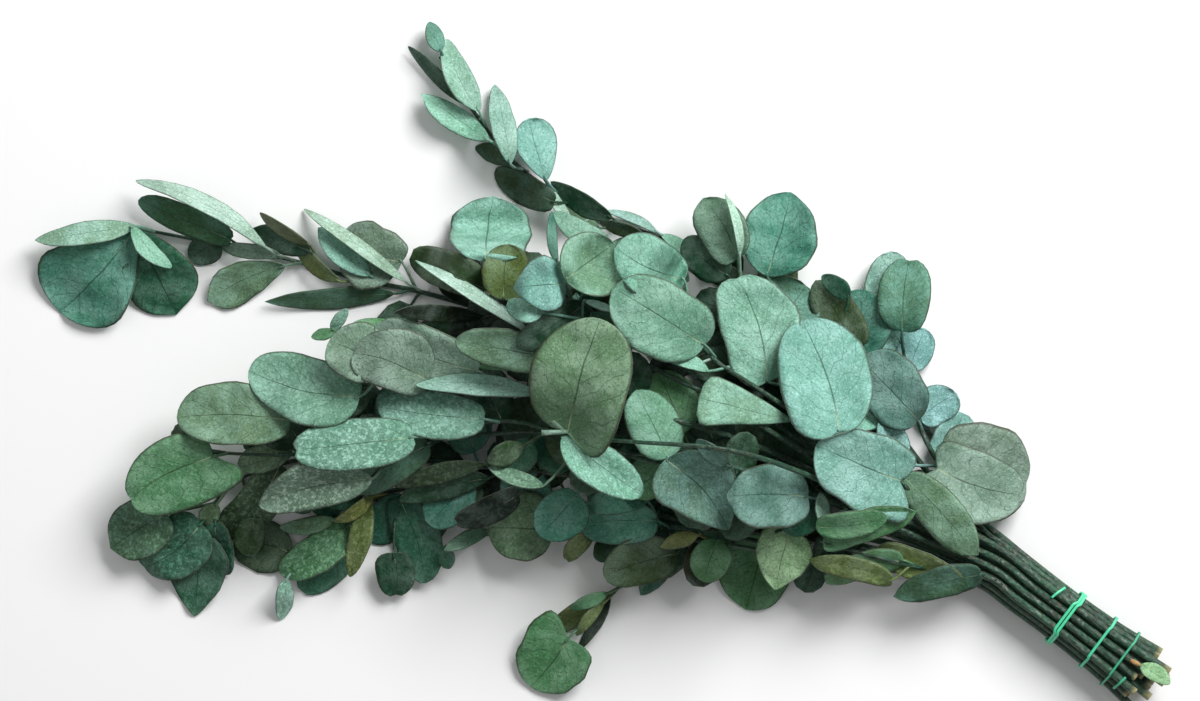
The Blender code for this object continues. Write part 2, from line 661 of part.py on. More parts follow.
def leaf_mesh(leaf):
    """A leaf as a thin closed strip: petiole, blade rows with a midrib, and a tip."""
    bm = bmesh.new()
    last = len(leaf["reach"]) - 1

    def spot(k, across):
        return bm.verts.new(Vector(leaf_point(leaf, k, across)) * MM)

    rows = []
    for k in range(last + 1):
        if k < 2:
            rows.append([spot(k, -1), spot(k, 1)])
        elif k < last:
            rows.append([spot(k, -1), spot(k, 0), spot(k, 1)])
        else:
            rows.append([spot(k, 0)])
    for low, high in zip(rows[:-1], rows[1:]):
        if len(low) == 2 and len(high) == 2:
            bm.faces.new((low[0], low[1], high[1]))
            bm.faces.new((low[0], high[1], high[0]))
        elif len(low) == 2:
            bm.faces.new((low[0], high[1], high[0]))
            bm.faces.new((low[0], low[1], high[1]))
            bm.faces.new((low[1], high[2], high[1]))
        elif len(high) == 3:
            bm.faces.new((low[0], low[1], high[0]))
            bm.faces.new((low[1], high[1], high[0]))
            bm.faces.new((low[1], low[2], high[1]))
            bm.faces.new((low[2], high[2], high[1]))
        else:
            bm.faces.new((low[0], low[1], high[0]))
            bm.faces.new((low[1], low[2], high[0]))
    bm.normal_update()
    if sum(face.normal.z for face in bm.faces) < 0:
        bmesh.ops.reverse_faces(bm, faces=bm.faces[:])
    bmesh.ops.solidify(bm, geom=bm.faces[:], thickness=LEAF_THICK * MM)
    for vert in bm.verts:
        vert.co.z = max(vert.co.z, 0.0)
    return bm


def build_stem(name, knots, radii, leaves):
    """One leafy stem: the leaves' roots are sunk in the stem, and all is joined to one body."""
    scene = bpy.context.scene.collection
    helpers = bpy.data.collections.new(name + "_leaves")
    scene.children.link(helpers)
    stem = make_object(name, stem_mesh(knots, radii), scene)
    for number, leaf in enumerate(leaves):
        make_object(f"{name}_leaf_{number}", leaf_mesh(leaf), helpers)
    if leaves:
        join = stem.modifiers.new("join", "BOOLEAN")
        join.operation = "UNION"
        join.operand_type = "COLLECTION"
        join.collection = helpers
        join.solver = "MANIFOLD"
        evaluated = stem.evaluated_get(bpy.context.evaluated_depsgraph_get())
        joined = bpy.data.meshes.new_from_object(evaluated)
        stem.modifiers.clear()
        stem.data = joined
    for helper in list(helpers.objects):
        bpy.data.objects.remove(helper)
    bpy.data.collections.remove(helpers)
    tones = [TONES[leaf["tone"]] for leaf in leaves] or [TONES["dark"]]
    mean = [sum(tone[i] for tone in tones) / len(tones) for i in range(3)]
    stem.data.materials.clear()
    stem.data.materials.append(make_material(name, mean, 0.6))
    return stem


def build_tie(name, toward_cut, width, thick, tone, corners=24):
    """A rubber tie round the bundle: a flat band that touches the outer stems."""
    centres = []
    for row, count in enumerate(ROW_COUNTS):
        for place in range(count):
            across, up = slot(row, place)
            x, y, _ = bundle_point(-toward_cut, across, up)
            centres.append(((x - TIE_CENTRE[0] + TO_TIPS[0] * toward_cut) * ACROSS[0]
                            + (y - TIE_CENTRE[1] + TO_TIPS[1] * toward_cut) * ACROSS[1], up))

    def outline(extra):
        turns = [2 * math.pi * k / corners for k in range(corners)]
        reach = [max(a * math.cos(t) + b * math.sin(t) for a, b in centres) + BUTT_RADIUS + extra
                 for t in turns]
        points = []
        for k in range(corners):
            t, u = turns[k], turns[(k + 1) % corners]
            h, g = reach[k], reach[(k + 1) % corners]
            span = math.sin(u - t)
            points.append(((h * math.sin(u) - g * math.sin(t)) / span,
                           (g * math.cos(t) - h * math.cos(u)) / span))
        return points

    inner = outline(TIE_SLACK)
    outer = outline(TIE_SLACK + thick)
    bm = bmesh.new()
    rings = []
    for points, end in ((inner, -1), (outer, -1), (outer, 1), (inner, 1)):
        along = -toward_cut + end * width / 2
        ring = []
        for a, b in points:
            x = TIE_CENTRE[0] + TO_TIPS[0] * along + ACROSS[0] * a
            y = TIE_CENTRE[1] + TO_TIPS[1] * along + ACROSS[1] * a
            ring.append(bm.verts.new(Vector((x, y, BUNDLE_HEIGHT + b)) * MM))
        rings.append(ring)
    for k in range(4):
        low, high = rings[k], rings[(k + 1) % 4]
        for i in range(corners):
            j = (i + 1) % corners
            bm.faces.new((low[i], low[j], high[j], high[i]))
    tie = make_object(name, bm, bpy.context.scene.collection)
    tie.data.materials.append(make_material(name, tone, 0.45))
    tie.data.shade_smooth()
    tie.data.set_sharp_from_angle(angle=math.radians(40))
    return tie


def main():
    for old in list(bpy.data.objects):
        bpy.data.objects.remove(old)
    for name, knots, radii, leaves in lay_bunch():
        build_stem(name, knots, radii, leaves)
    for tie in TIES:
        build_tie(*tie)


main()
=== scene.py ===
"""Looks of the tied bunch of silver-dollar eucalyptus: fine leaves, stems and rubber ties."""

import math
import random

import bmesh
import bpy
import numpy as np
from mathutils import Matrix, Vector, kdtree


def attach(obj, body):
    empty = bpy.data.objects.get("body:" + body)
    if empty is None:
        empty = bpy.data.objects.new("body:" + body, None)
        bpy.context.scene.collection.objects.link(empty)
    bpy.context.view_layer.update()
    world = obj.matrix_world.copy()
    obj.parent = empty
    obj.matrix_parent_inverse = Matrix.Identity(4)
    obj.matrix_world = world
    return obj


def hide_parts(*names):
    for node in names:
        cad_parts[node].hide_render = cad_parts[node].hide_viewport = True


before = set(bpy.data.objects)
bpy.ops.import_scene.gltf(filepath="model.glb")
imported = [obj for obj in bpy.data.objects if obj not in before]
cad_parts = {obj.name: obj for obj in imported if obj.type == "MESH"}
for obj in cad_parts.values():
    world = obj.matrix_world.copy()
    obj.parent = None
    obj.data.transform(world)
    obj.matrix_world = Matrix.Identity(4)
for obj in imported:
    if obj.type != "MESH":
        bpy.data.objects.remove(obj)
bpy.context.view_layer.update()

MM = 0.001


def linear(tone):
    """Linear colour of an sRGB tone."""
    return [((c / 255 + 0.055) / 1.055) ** 2.4 if c > 10 else c / 255 / 12.92 for c in tone]


# The bundle of stems inside the ties, in millimetres.
TIE_CENTRE = (230.0, -127.0)
TO_TIPS = (-0.8, 0.6)
ACROSS = (0.6, 0.8)
STEM_PITCH = 4.7
ROW_RISE = 4.07
ROW_COUNTS = (4, 5, 6, 5, 4)
FAN_LENGTH = 45.0
FAN_BASE = 3.0
FAN_RISE = 7.0
FAN_MORE = 2.0
BUNDLE_KNOTS = 6
BUTT_RADIUS = 2.1
TIP_RADIUS = 0.8
TIE_SLACK = 0.35
BUNDLE_HEIGHT = 2 * ROW_RISE + BUTT_RADIUS + TIE_SLACK + 1.4

# How much the bundle widens toward the cut ends and toward the leaves, and how far the cut ends lie
# from the first tie.
BUTT_SPREAD = 0.28
NECK_SPREAD = 0.12
BUTT_NEAREST = 46
BUTT_STAGGER = 14

# Rubber ties: name, tone, loops and loose strands. A loop has its distance from the first tie toward
# the cut ends, width, thickness and sway. A strand has its knots.
TIES = (
    ("tie_main", (75, 205, 155), ((-0.9, 1.5, 1.5, 2.2), (1.0, 1.5, 1.4, 1.6)),
     (((223, -117, 22.5), (226, -114.5, 22.6), (230, -112, 20.5)),)),
    ("tie_middle", (72, 196, 150), ((21.0, 1.5, 1.2, 0.8),), ()),
    ("tie_end", (58, 160, 122), ((35.0, 1.2, 1.0, 0.5),),
     (((254.5, -162.8, 17.8), (257, -160.2, 22.3), (260.2, -157.0, 22.5)),)),
)
STRAND_SECTION = (1.3, 0.9)
BAND_CORNERS = 72
BAND_SIDES = 10

# Leaves: thickness, and the room that a laid surface keeps to what lies below it. Leaves of one
# stem keep less, because they may touch.
LEAF_THICK = 0.7
LEAF_ROOM = 2.0
OWN_ROOM = 0.6
STEM_ROOM = 1.3
PETIOLE_HALF = 0.8
MOST_EDGE_RISE = 8.0
SEED = 450

# A stem runs about level with the leaves beside it: how far it feels for them, and how far it may
# lie below the highest.
SIDE_REACH = 14.0
SIDE_DROP = 5.0

# How leaves of the table lie: bend of the middle line as a share of the length, the true width that
# an edge-on leaf has, rise of the petiole, slope in degrees and droop.
LEAF_BEND = 0.05
TRUE_WIDTH = 0.86
PETIOLE_RISE = 0.3
LEAF_SLOPE = (-14, 16)
LEAF_DROOP = (0.0, 0.16)

# A stretch of stem that is held in the bundle has nothing to clear.
NOTHING_BELOW = -10

# The plan grid on which the height of the pile is kept.
CELL = 2.0
HALF_X = 340.0
HALF_Y = 220.0

# Named leaf tones, sRGB. The darkest two are partly painted shade: near-black greens given to leaves that
# lie in the shadow deep inside the bunch.
TONES = {
    "teal": (84, 140, 124),
    "deep": (46, 98, 78),
    "mint": (136, 186, 166),
    "pale": (146, 186, 172),
    "blue": (142, 188, 184),
    "slate": (90, 130, 122),
    "green": (88, 136, 96),
    "leaf": (112, 148, 124),
    "sage": (108, 138, 106),
    "grey": (126, 150, 134),
    "moss": (58, 82, 52),
    "olive": (112, 128, 76),
    "gold": (134, 140, 84),
    "lime": (158, 196, 150),
    "cream": (174, 206, 190),
    "brown": (102, 106, 74),
    "pine": (36, 98, 72),
    "fern": (80, 122, 96),
    "haze": (108, 148, 144),
    "bronze": (92, 116, 62),
    "aqua": (130, 178, 168),
    "dusk": (124, 168, 148),
    "dark": (24, 68, 46),
    "black": (10, 32, 21),
}

# Pale leaves turn their faces to this side in plan, and dark ones away from it.
BRIGHT_SIDE = (0.6, 0.8)
PALE_FACED = ("pale", "cream", "mint", "blue", "lime", "dusk")
DARK_FACED = ("dark", "black", "moss", "olive", "deep", "brown")

# Every stem: name, row and place in the row, its route in plan from the bundle to its tip, and its
# leaves from the lowest to the highest: base x, y, tip x, y, width, tone and form. A form is flat
# (f), folded along the midrib (b), on edge (e), heart-shaped at the base (h), widest toward the tip
# (o), pointed (p) or wedge-shaped (w). Leaves laid by rule are fill leaves (s) or inner leaves (i).
STEM_TABLE = (
    ("stem_bottom_sprig", 0, 0, """
     150 -104, 105 -100, 60 -92, 35 -97, 8 -111, -6 -122 | 81 -88 70 -123 36 green f;
     30 -100 17 -116 12 deep e; 1 -117 -15 -144 6 black e; 0 -116 -30 -136 12 olive e;
     -2 -120 -16 -137 6 olive e; 0 -115 -19 -123 7 green e; -20 -138 -39 -163 38 green h"""),
    ("stem_lower_left", 0, 1, """
     150 -96, 100 -88, 50 -80, 0 -72, -50 -66, -100 -62, -125 -72, -148 -92, -162 -107 |
     -105 -68 -92 -110 24 deep f; -108 -95 -107 -117 20 dark f; -130 -85 -155 -115 20 deep f;
     -131 -81 -166 -105 20 green f; -162 -108 -166 -129 9 pale e; -138 -78 -166 -82 9 leaf e;
     -120 -68 -130 -107 12 olive e; -118 -66 -138 -79 7 gold e"""),
    ("stem_left_sprig", 0, 2, """
     150 -78, 100 -50, 50 -18, 0 8, -50 24, -95 37, -125 43, -160 53, -197 61, -238 69 |
     -108 36 -171 32 11 deep e; -104 52 -134 66 33 grey f; -120 45 -146 69 14 mint e;
     -102 42 -154 79 7 cream e; -135 42 -160 65 8 olive e; -150 57 -182 67 14 dark e;
     -150 60 -176 77 6 brown e; -163 50 -201 33 21 leaf o; -165 55 -196 60 8 grey e;
     -196 62 -212 54 15 dark f; -190 63 -237 83 15 pine f; -172 59 -238 93 9 cream e;
     -238 68 -219 27 37 pine f; -239 68 -277 27 50 teal f; -238 70 -288 63 12 pale e;
     -240 70 -220 49 9 mint e"""),
    ("stem_right_back", 0, 3, """
     193 -84, 184 -66, 171 -48, 160 -30, 153 -8, 148 14 | 168 -48 180 -24 20 blue f;
     158 -27 176 -15 20 blue f; 152 -2 160 18 20 blue f; 147 18 143 57 26 pale f;
     147 13 128 18 17 blue f"""),
    ("stem_lower_middle", 1, 0, """
     150 -100, 100 -94, 50 -84, 15 -80, -15 -83, -50 -84, -80 -90 | -83 -92 -80 -103 9 deep e;
     -60 -84 -82 -93 8 leaf e; -28 -83 -60 -82 35 sage f; 2 -85 -5 -99 12 dark f;
     -8 -84 -21 -99 10 olive f; 34 -95 -2 -106 24 moss f; 24 -78 -14 -80 22 teal f;
     20 -68 -12 -72 14 teal e"""),
    ("stem_far_left_low", 1, 1, """
     150 -92, 100 -80, 50 -68, 0 -58, -50 -52, -100 -48, -140 -46, -165 -50, -190 -60, -205 -79 |
     -45 -65 -77 -79 14 black f; -60 -57 -105 -68 14 dark e; -62 -50 -108 -61 10 moss e;
     -165 -50 -197 -87 22 moss f; -160 -42 -186 -52 14 sage f; -178 -78 -182 -96 15 moss f;
     -197 -70 -205 -84 10 sage e; -198 -80 -193 -107 16 deep f; -208 -85 -209 -127 32 deep p;
     -205 -80 -235 -103 32 deep f; -222 -75 -250 -92 30 fern f"""),
    ("stem_far_left", 1, 2, """
     150 -84, 100 -62, 50 -45, 0 -36, -50 -34, -110 -40, -160 -45, -200 -44 |
     -90 -40 -130 -62 20 deep f; -203 -42 -219 -32 14 moss f; -198 -46 -241 -68 38 green h"""),
    ("stem_top_sprig", 1, 3, """
     158 -66, 120 -25, 85 10, 50 48, 28 64, 0 72, -28 88, -48 103, -70 131, -85 156 |
     27 66 46 50 7 mint e; 29 53 41 42 6 pale e; 25 67 0 78 5 pale e; 19 64 -4 72 7 dark e;
     -4 69 -25 80 7 leaf e; 2 74 -28 92 11 dark e; -18 70 -31 91 6 cream e; -27 82 -57 99 15 dark f;
     -33 95 -48 112 5 dark e; -47 101 -67 110 10 dark e; -31 93 -40 124 21 aqua o;
     -49 101 -57 141 13 pale e; -60 113 -93 136 13 mint e; -70 131 -101 161 7 dark e;
     -65 128 -82 165 14 pale e; -84 158 -90 173 9 teal e"""),
    ("stem_upper_back", 1, 4, """
     176 -70, 158 -50, 142 -28, 122 -3, 100 20, 83 42 | 122 -10 115 20 20 deep f;
     78 14 100 40 36 teal f; 125 8 105 42 22 moss f; 121 33 108 45 10 deep e; 80 45 92 86 38 teal b"""),
    ("stem_low_short", 2, 0, """
     160 -104, 125 -101, 95 -97, 60 -90, 36 -88 | 45 -85 27 -91 8 gold e; 55 -88 48 -109 20 green f"""),
    ("stem_mottled", 2, 1, """
     150 -88, 100 -72, 50 -56, 0 -42, -50 -28, -97 -37, -118 -56 | -32 -60 -59 -51 8 leaf e;
     -42 -40 -60 -48 12 moss e; -62 -27 -115 -21 24 dusk f; -118 -57 -174 -70 24 grey b;
     -97 -36 -158 -43 26 dusk f"""),
    ("stem_middle_left", 2, 2, """
     150 -80, 100 -52, 50 -32, 0 -20, -35 -14, -62 -6, -94 -10, -125 -6, -163 -14 |
     -159 -28 -216 -26 32 leaf f; -124 -16 -180 -3 34 dusk f; -138 16 -130 28 6 dusk e;
     -136 17 -148 14 6 green e; -103 20 -127 21 6 green e; -115 0 -139 12 30 grey f;
     -65 -3 -115 19 25 grey f; -90 -8 -127 6 32 grey f; -30 -3 -64 -1 7 green e;
     -35 -14 -95 -10 11 pale e"""),
    ("stem_centre_left", 2, 3, """
     150 -72, 100 -40, 50 -8, 10 12, -20 22, -52 33, -60 50 | -62 24 -105 26 9 black e;
     -62 38 -100 56 20 moss f; -61 52 -58 84 41 mint f; -39 16 -94 51 7 cream e;
     -52 33 -50 60 24 bronze f; -25 50 -28 77 5 teal e"""),
    ("stem_upper", 2, 4, """
     163 -68, 116 -33, 80 -3, 68 25, 66 48 | 70 42 46 48 12 moss e; 60 45 38 63 18 dark f;
     65 54 48 83 25 leaf f; 66 54 59 85 5 cream e; 80 -8 64 45 40 mint f"""),
    ("stem_right_front", 2, 5, """
     182 -72, 160 -38, 152 -10, 148 14 | 140 -22 118 -30 12 mint e; 148 -50 138 -27 15 blue f;
     156 -28 126 3 32 haze f; 148 17 152 54 27 teal f"""),
    ("stem_low_pale", 3, 0, """
     160 -98, 125 -90, 98 -80, 84 -84 | 91 -84 84 -113 29 lime p"""),
    ("stem_centre_low", 3, 1, """
     150 -86, 105 -66, 60 -50, 30 -46, 12 -44 | 103 -65 90 -85 18 deep f; 30 -46 14 -13 26 dusk f;
     29 -47 60 -82 38 slate b; 60 -50 44 -37 9 slate e"""),
    ("stem_centre", 3, 2, """
     150 -78, 100 -45, 50 -15, 10 5, -15 25, -21 39 | -28 4 -75 12 20 leaf f; -12 30 -45 9 17 dark f;
     -33 26 -50 31 12 mint f; -8 26 22 12 12 deep e; -12 32 6 26 4 pale e; 0 62 -27 76 12 dusk e;
     -21 40 -47 38 28 aqua f; -21 42 3 60 34 dusk b"""),
    ("stem_centre_right", 3, 3, """
     155 -70, 110 -35, 75 -12, 48 8, 38 40 | 42 0 30 11 8 cream e; 50 -3 30 3 7 mint e;
     38 43 4 58 30 mint f; 48 10 3 38 38 dusk f; 93 -28 45 -16 26 dusk w"""),
    ("stem_right_pair", 3, 4, """
     188 -82, 168 -56 | 166 -52 213 -60 51 grey f; 165 -52 209 -66 38 grey h"""),
    ("stem_slate", 4, 1, """
     155 -86, 105 -66, 78 -62 | 107 -80 106 -64 8 cream e; 100 -66 60 -65 32 slate f"""),
    ("stem_broad", 4, 2, """
     150 -78, 100 -55, 60 -42, 15 -38, -21 -36 | -23 -36 17 -65 22 mint b; -20 -33 -4 23 50 sage h"""),
    ("stem_crown", 4, 3, """
     165 -74, 146 -58, 117 -34 | 148 -56 184 -94 22 leaf f; 146 -58 104 -40 40 aqua h;
     115 -33 97 23 46 aqua h"""),
    ("stem_low_top", 4, 0, """
     155 -101, 130 -95, 106 -88 | 178 -113 135 -92 16 olive f; 187 -105 145 -116 16 deep f;
     148 -98 108 -108 14 green f; 108 -90 152 -74 16 green f; 142 -108 102 -98 12 olive f;
     104 -81 139 -76 14 green f"""),
)


def read_stem(name, row, place, laid):
    """A stem of the table, with its route and leaves as numbers, tones and forms."""
    route, leaves = laid.split("|")
    route = tuple(tuple(map(int, point.split())) for point in route.split(","))
    rows = [leaf.split() for leaf in leaves.split(";")]
    return name, row, place, route, tuple((*map(int, leaf[:5]), *leaf[5:]) for leaf in rows)


STEMS = tuple(read_stem(*stem) for stem in STEM_TABLE)

# Smaller leaves that fill the depth of the bunch: they grow in opposite pairs from the stems of the
# lower rows where few leaves of the table show, and stay inside this outline of the dense foliage, in
# plan. Widths are shares of the length and turns are degrees from the stem.
FILL_ROWS = 2
FILL_SPACING = 66.0
FILL_LENGTH = (24.0, 36.0)
FILL_WIDTH = (0.7, 0.95)
FILL_PETIOLE = (7, 12)
FILL_TURN = (38, 80)
FILL_MOST_SHOWN = 0.3
FILL_TONES = ("deep", "dark", "moss", "teal", "green")
DENSE_OUTLINE = (
    (-108, 44), (-60, 68), (0, 58), (45, 72), (92, 74), (108, 42), (150, 42), (155, 8), (182, -26),
    (205, -56), (186, -92), (140, -116), (70, -118), (0, -103), (-60, -90), (-110, -106), (-200, -98),
    (-214, -60), (-195, -20), (-140, 8),
)


def plan_cells(x, y):
    """Indices of the plan cells that hold points."""
    return tuple(np.clip(((np.asarray(value) + half) / CELL).astype(int), 0, int(2 * half / CELL) - 1)
                 for value, half in ((x, HALF_X), (y, HALF_Y)))


def plan_grid(value, kind=float):
    """A plan grid with one value in every cell."""
    return np.full((int(2 * HALF_X / CELL), int(2 * HALF_Y / CELL)), value, kind)


class Pile:
    """Height of what has been laid so far, on a plan grid, and where leaves of the table show."""

    def __init__(self):
        self.top = plan_grid(LEAF_THICK - LEAF_ROOM)
        self.shown = plan_grid(False, bool)
        self.wide = self.top.copy()
        self.under = self.top.copy()

    def height(self, x, y):
        return self.wide[plan_cells(x, y)]

    def height_under_stem(self, x, y):
        return self.under[plan_cells(x, y)]

    def finish_stem(self):
        """What was laid for one stem, its own leaves too, now lies under the next one."""
        self.under = self.wide.copy()

    def add(self, x, y, z):
        np.maximum.at(self.top, plan_cells(x, y), z)
        self.wide = self.top.copy()
        for axis in (0, 1):
            for step in (-1, 1):
                self.wide = np.maximum(self.wide, np.roll(self.wide, step, axis))

    def mark_shown(self, x, y):
        self.shown[plan_cells(x, y)] = True

    def share_shown(self, x, y):
        return float(self.shown[plan_cells(x, y)].mean())


def slot(row, place):
    """Offset of a stem across the bundle and up from its axis."""
    return (place - (ROW_COUNTS[row] - 1) / 2) * STEM_PITCH, (row - 2) * ROW_RISE


def bundle_point(along, across, up):
    """A point of the bundle at a distance from the first tie, positive toward the tips."""
    spread = 1 + BUTT_SPREAD * max(0.0, -along / 50) ** 2 + NECK_SPREAD * max(0.0, along / 50) ** 2
    x = TIE_CENTRE[0] + TO_TIPS[0] * along + ACROSS[0] * across * spread
    y = TIE_CENTRE[1] + TO_TIPS[1] * along + ACROSS[1] * across * spread
    return x, y, BUNDLE_HEIGHT + up


def lay_stem(pile, row, place, route, rng):
    """Knots of a stem from its cut end to its tip, in millimetres, resting on the pile."""
    across, up = slot(row, place)
    butt = -BUTT_NEAREST - BUTT_STAGGER * rng.random()
    knots = [bundle_point(along, across, up) for along in (butt, -35, -21, 0, 24, 46)]
    neck = knots[-1]
    for x, y in route:
        fanned = math.dist(neck[:2], (x, y)) / FAN_LENGTH
        spread = FAN_BASE + (FAN_RISE + FAN_MORE * min(1.0, max(0.0, fanned - 1))) * row
        knots.append((x, y, neck[2] + min(1.0, fanned) * (spread - neck[2])))
    held = BUNDLE_KNOTS + 1
    knots = np.array(knots, float)
    radii = np.interp(np.arange(len(knots)), (0, BUNDLE_KNOTS - 1, len(knots) - 1),
                      (BUTT_RADIUS, 1.85, TIP_RADIUS))
    share = np.linspace(0, 1, 16)
    needs = []
    for k in range(len(knots) - 1):
        line = knots[k, :2] + share[:, None] * (knots[k + 1, :2] - knots[k, :2])
        need = pile.height(line[:, 0], line[:, 1]) + STEM_ROOM + radii[k]
        if k < held - 1:
            need[:] = NOTHING_BELOW
        elif k == held - 1:
            need[:5] = NOTHING_BELOW
        needs.append(need)
    wanted = knots[:, 2].copy()
    turns = np.linspace(0, 2 * math.pi, 17)
    for k in range(held, len(knots)):
        x = knots[k, 0] + SIDE_REACH * np.cos(turns)
        y = knots[k, 1] + SIDE_REACH * np.sin(turns)
        nearby = pile.height(x, y).max() - SIDE_DROP
        wanted[k] = max(nearby, wanted[k] if k == held else 0.0)
    knots[:, 2] = settle([share] * len(needs), needs, wanted, held)
    return knots, radii


def walk(points):
    """Distance along a polyline at each of its points."""
    return np.concatenate([[0], np.cumsum(np.linalg.norm(np.diff(points, axis=0), axis=1))])


def along_line(knots, per_gap):
    """Points on a polyline, with per_gap points for each stretch between knots."""
    share = np.arange(per_gap)[:, None] / per_gap
    parts = [a + share * (b - a) for a, b in zip(knots[:-1], knots[1:])]
    return np.vstack(parts + [knots[-1:]])


def stem_cover(knots, radii):
    """Plan points and top heights of a stem's tube."""
    line = along_line(np.column_stack([knots, radii]), 24)
    heading = np.gradient(line[:, :2], axis=0)
    heading /= np.linalg.norm(heading, axis=1)[:, None] + 1e-9
    side = np.column_stack([-heading[:, 1], heading[:, 0]])
    rows = [line[:, :2] + side * line[:, 3:] * o for o in (-1, 0, 1)]
    plan = np.vstack(rows)
    return plan[:, 0], plan[:, 1], np.tile(line[:, 2] + line[:, 3], 3)


def find_root(knots, base):
    """Point on a stem's axis from which a petiole leads to the leaf's base."""
    line = along_line(knots[BUNDLE_KNOTS - 1:], 24)
    gaps = np.linalg.norm(line[:, :2] - np.array(base), axis=1)
    near = int(gaps.argmin())
    back = min(12.0, max(7.0, 0.7 * gaps[near]))
    while near > 0 and back > 0:
        back -= np.linalg.norm(line[near, :2] - line[near - 1, :2])
        near -= 1
    return line[near]


# Where the blade's cross rows lie between base and tip, and their share of the half width.
BLADE_ROWS = {
    "f": ((0.16, 0.82), (0.5, 1.0), (0.84, 0.66)),
    "b": ((0.18, 0.78), (0.5, 1.0), (0.82, 0.68)),
    "e": ((0.3, 0.92), (0.74, 0.84)),
    "h": ((0.03, 0.74), (0.42, 1.0), (0.82, 0.7)),
    "o": ((0.34, 0.74), (0.68, 1.0), (0.9, 0.62)),
    "p": ((0.16, 0.8), (0.45, 1.0), (0.76, 0.6)),
    "w": ((0.5, 0.56), (0.88, 1.0)),
    "s": ((0.3, 0.96), (0.74, 0.86)),
}
FOLDS = {"f": 0.1, "b": 0.5, "e": 0.16, "h": 0.08, "o": 0.1, "p": 0.12, "w": 0.05, "s": 0.1,
         "i": 0.12}


def settle(shares, needs, wanted, held):
    """Heights of knots, as low as wanted, so that the straight runs between them clear the needs.

    The first held knots stay at their wanted height. Each later one starts high enough for the runs
    on both of its sides, and then sinks as far as its neighbours allow.
    """
    count = len(wanted)
    z = np.array(wanted, float)
    for k in range(held, count):
        both = [needs[k - 1].max()] + ([needs[k].max()] if k < count - 1 else [])
        z[k] = max(z[k], *both)
    for sweep in range(5):
        for k in range(held, count):
            low = [wanted[k]]
            a = shares[k - 1]
            use = a > 0.05
            low.append(((needs[k - 1] - (1 - a) * z[k - 1]) / np.maximum(a, 0.05))[use].max())
            if k < count - 1:
                a = 1 - shares[k]
                use = a > 0.05
                low.append(((needs[k] - (1 - a) * z[k + 1]) / np.maximum(a, 0.05))[use].max())
            z[k] = max(z[k], *low) if sweep == 0 else min(z[k], max(low))
    return z


def lay_leaf(pile, root, leaf, rng):
    """Rows of a leaf's surface: centre, sideways reach and heights of both edges, in millimetres."""
    x0, y0, x1, y1, width, tone, form = leaf
    base, tip = np.array(((x0, y0), (x1, y1)), float)
    root = np.asarray(root[:3]) + [rng.uniform(-0.25, 0.25) for _ in range(3)]
    length = float(np.linalg.norm(tip - base))
    heading = (tip - base) / length
    side = np.array((heading[1], -heading[0]))
    rows = BLADE_ROWS[form]
    bend = rng.uniform(-LEAF_BEND, LEAF_BEND) * length
    centres = [root[:2], base] + [base + heading * length * u + side * bend * math.sin(math.pi * u)
                                  for u, _ in rows] + [tip]
    centres = np.array(centres)
    reach = np.array([PETIOLE_HALF, PETIOLE_HALF] + [0.5 * width * w for _, w in rows] + [0.0])
    rise = math.sqrt(max(0.0, (TRUE_WIDTH * length) ** 2 - width ** 2))
    turned = rng.choice((-1, 1))
    if tone in PALE_FACED + DARK_FACED:
        turned = -1 if side @ np.array(BRIGHT_SIDE) > 0 else 1
        if tone in DARK_FACED:
            turned = -turned
    rise = min(rise, MOST_EDGE_RISE) * turned * rng.uniform(0.7, 1.0)
    tilt = rise * reach / max(width, 1e-6)
    tilt[:2] = 0
    fold = FOLDS[form] * reach
    fold[:2] = 0

    def offset(across, k):
        return tilt[k] * across + fold[k] * abs(across)

    count = len(centres)
    along = walk(centres)
    lift = math.tan(math.radians(rng.uniform(*LEAF_SLOPE)))
    droop = rng.uniform(*LEAF_DROOP)
    petiole = along[1]
    wanted = np.array([root[2] + PETIOLE_RISE * petiole + lift * max(0.0, s - petiole)
                       - droop * max(0.0, s - petiole) ** 2 / length for s in along])
    wanted[0] = root[2]
    shares = []
    needs = []
    t = np.linspace(-1, 1, 13)
    for k in range(count - 1):
        share = np.linspace(0.35 if k == 0 else 0.0, 1, 9)[:, None]
        middle = centres[k] + share * (centres[k + 1] - centres[k])
        half = (reach[k] + share * (reach[k + 1] - reach[k])) * t
        x = middle[:, :1] + side[0] * half
        y = middle[:, 1:] + side[1] * half
        dz = (1 - share) * offset(t, k) + share * offset(t, k + 1)
        shares.append(share[:, 0])
        clear = pile.height_under_stem(x, y) + LEAF_ROOM
        if k > 0:
            clear = np.maximum(clear, pile.height(x, y) + OWN_ROOM)
        needs.append((clear - dz).max(axis=1))
    z = settle(shares, needs, wanted, 1)
    return {"centres": np.column_stack([centres, z]), "reach": reach, "side": side, "tilt": tilt,
            "fold": fold, "tone": tone, "form": form, "length": length, "width": width}


def leaf_point(leaf, k, across):
    """A point of a leaf's surface on row k, across from -1 to 1."""
    x, y, z = leaf["centres"][k]
    reach = leaf["reach"][k] * across
    return (x + leaf["side"][0] * reach, y + leaf["side"][1] * reach,
            z + leaf["tilt"][k] * across + leaf["fold"][k] * abs(across))


def leaf_cover(leaf):
    """Plan points and heights over a leaf's surface."""
    points = []
    across = np.linspace(-1, 1, 15)
    for k in range(len(leaf["reach"]) - 1):
        first = np.array([leaf_point(leaf, k, t) for t in across])
        last = np.array([leaf_point(leaf, k + 1, t) for t in across])
        steps = max(4, int(np.linalg.norm(last[7] - first[7]) / 1.2))
        for a in np.linspace(0, 1, steps + 1):
            points.append(first + a * (last - first))
    points = np.vstack(points)
    return points[:, 0], points[:, 1], points[:, 2]


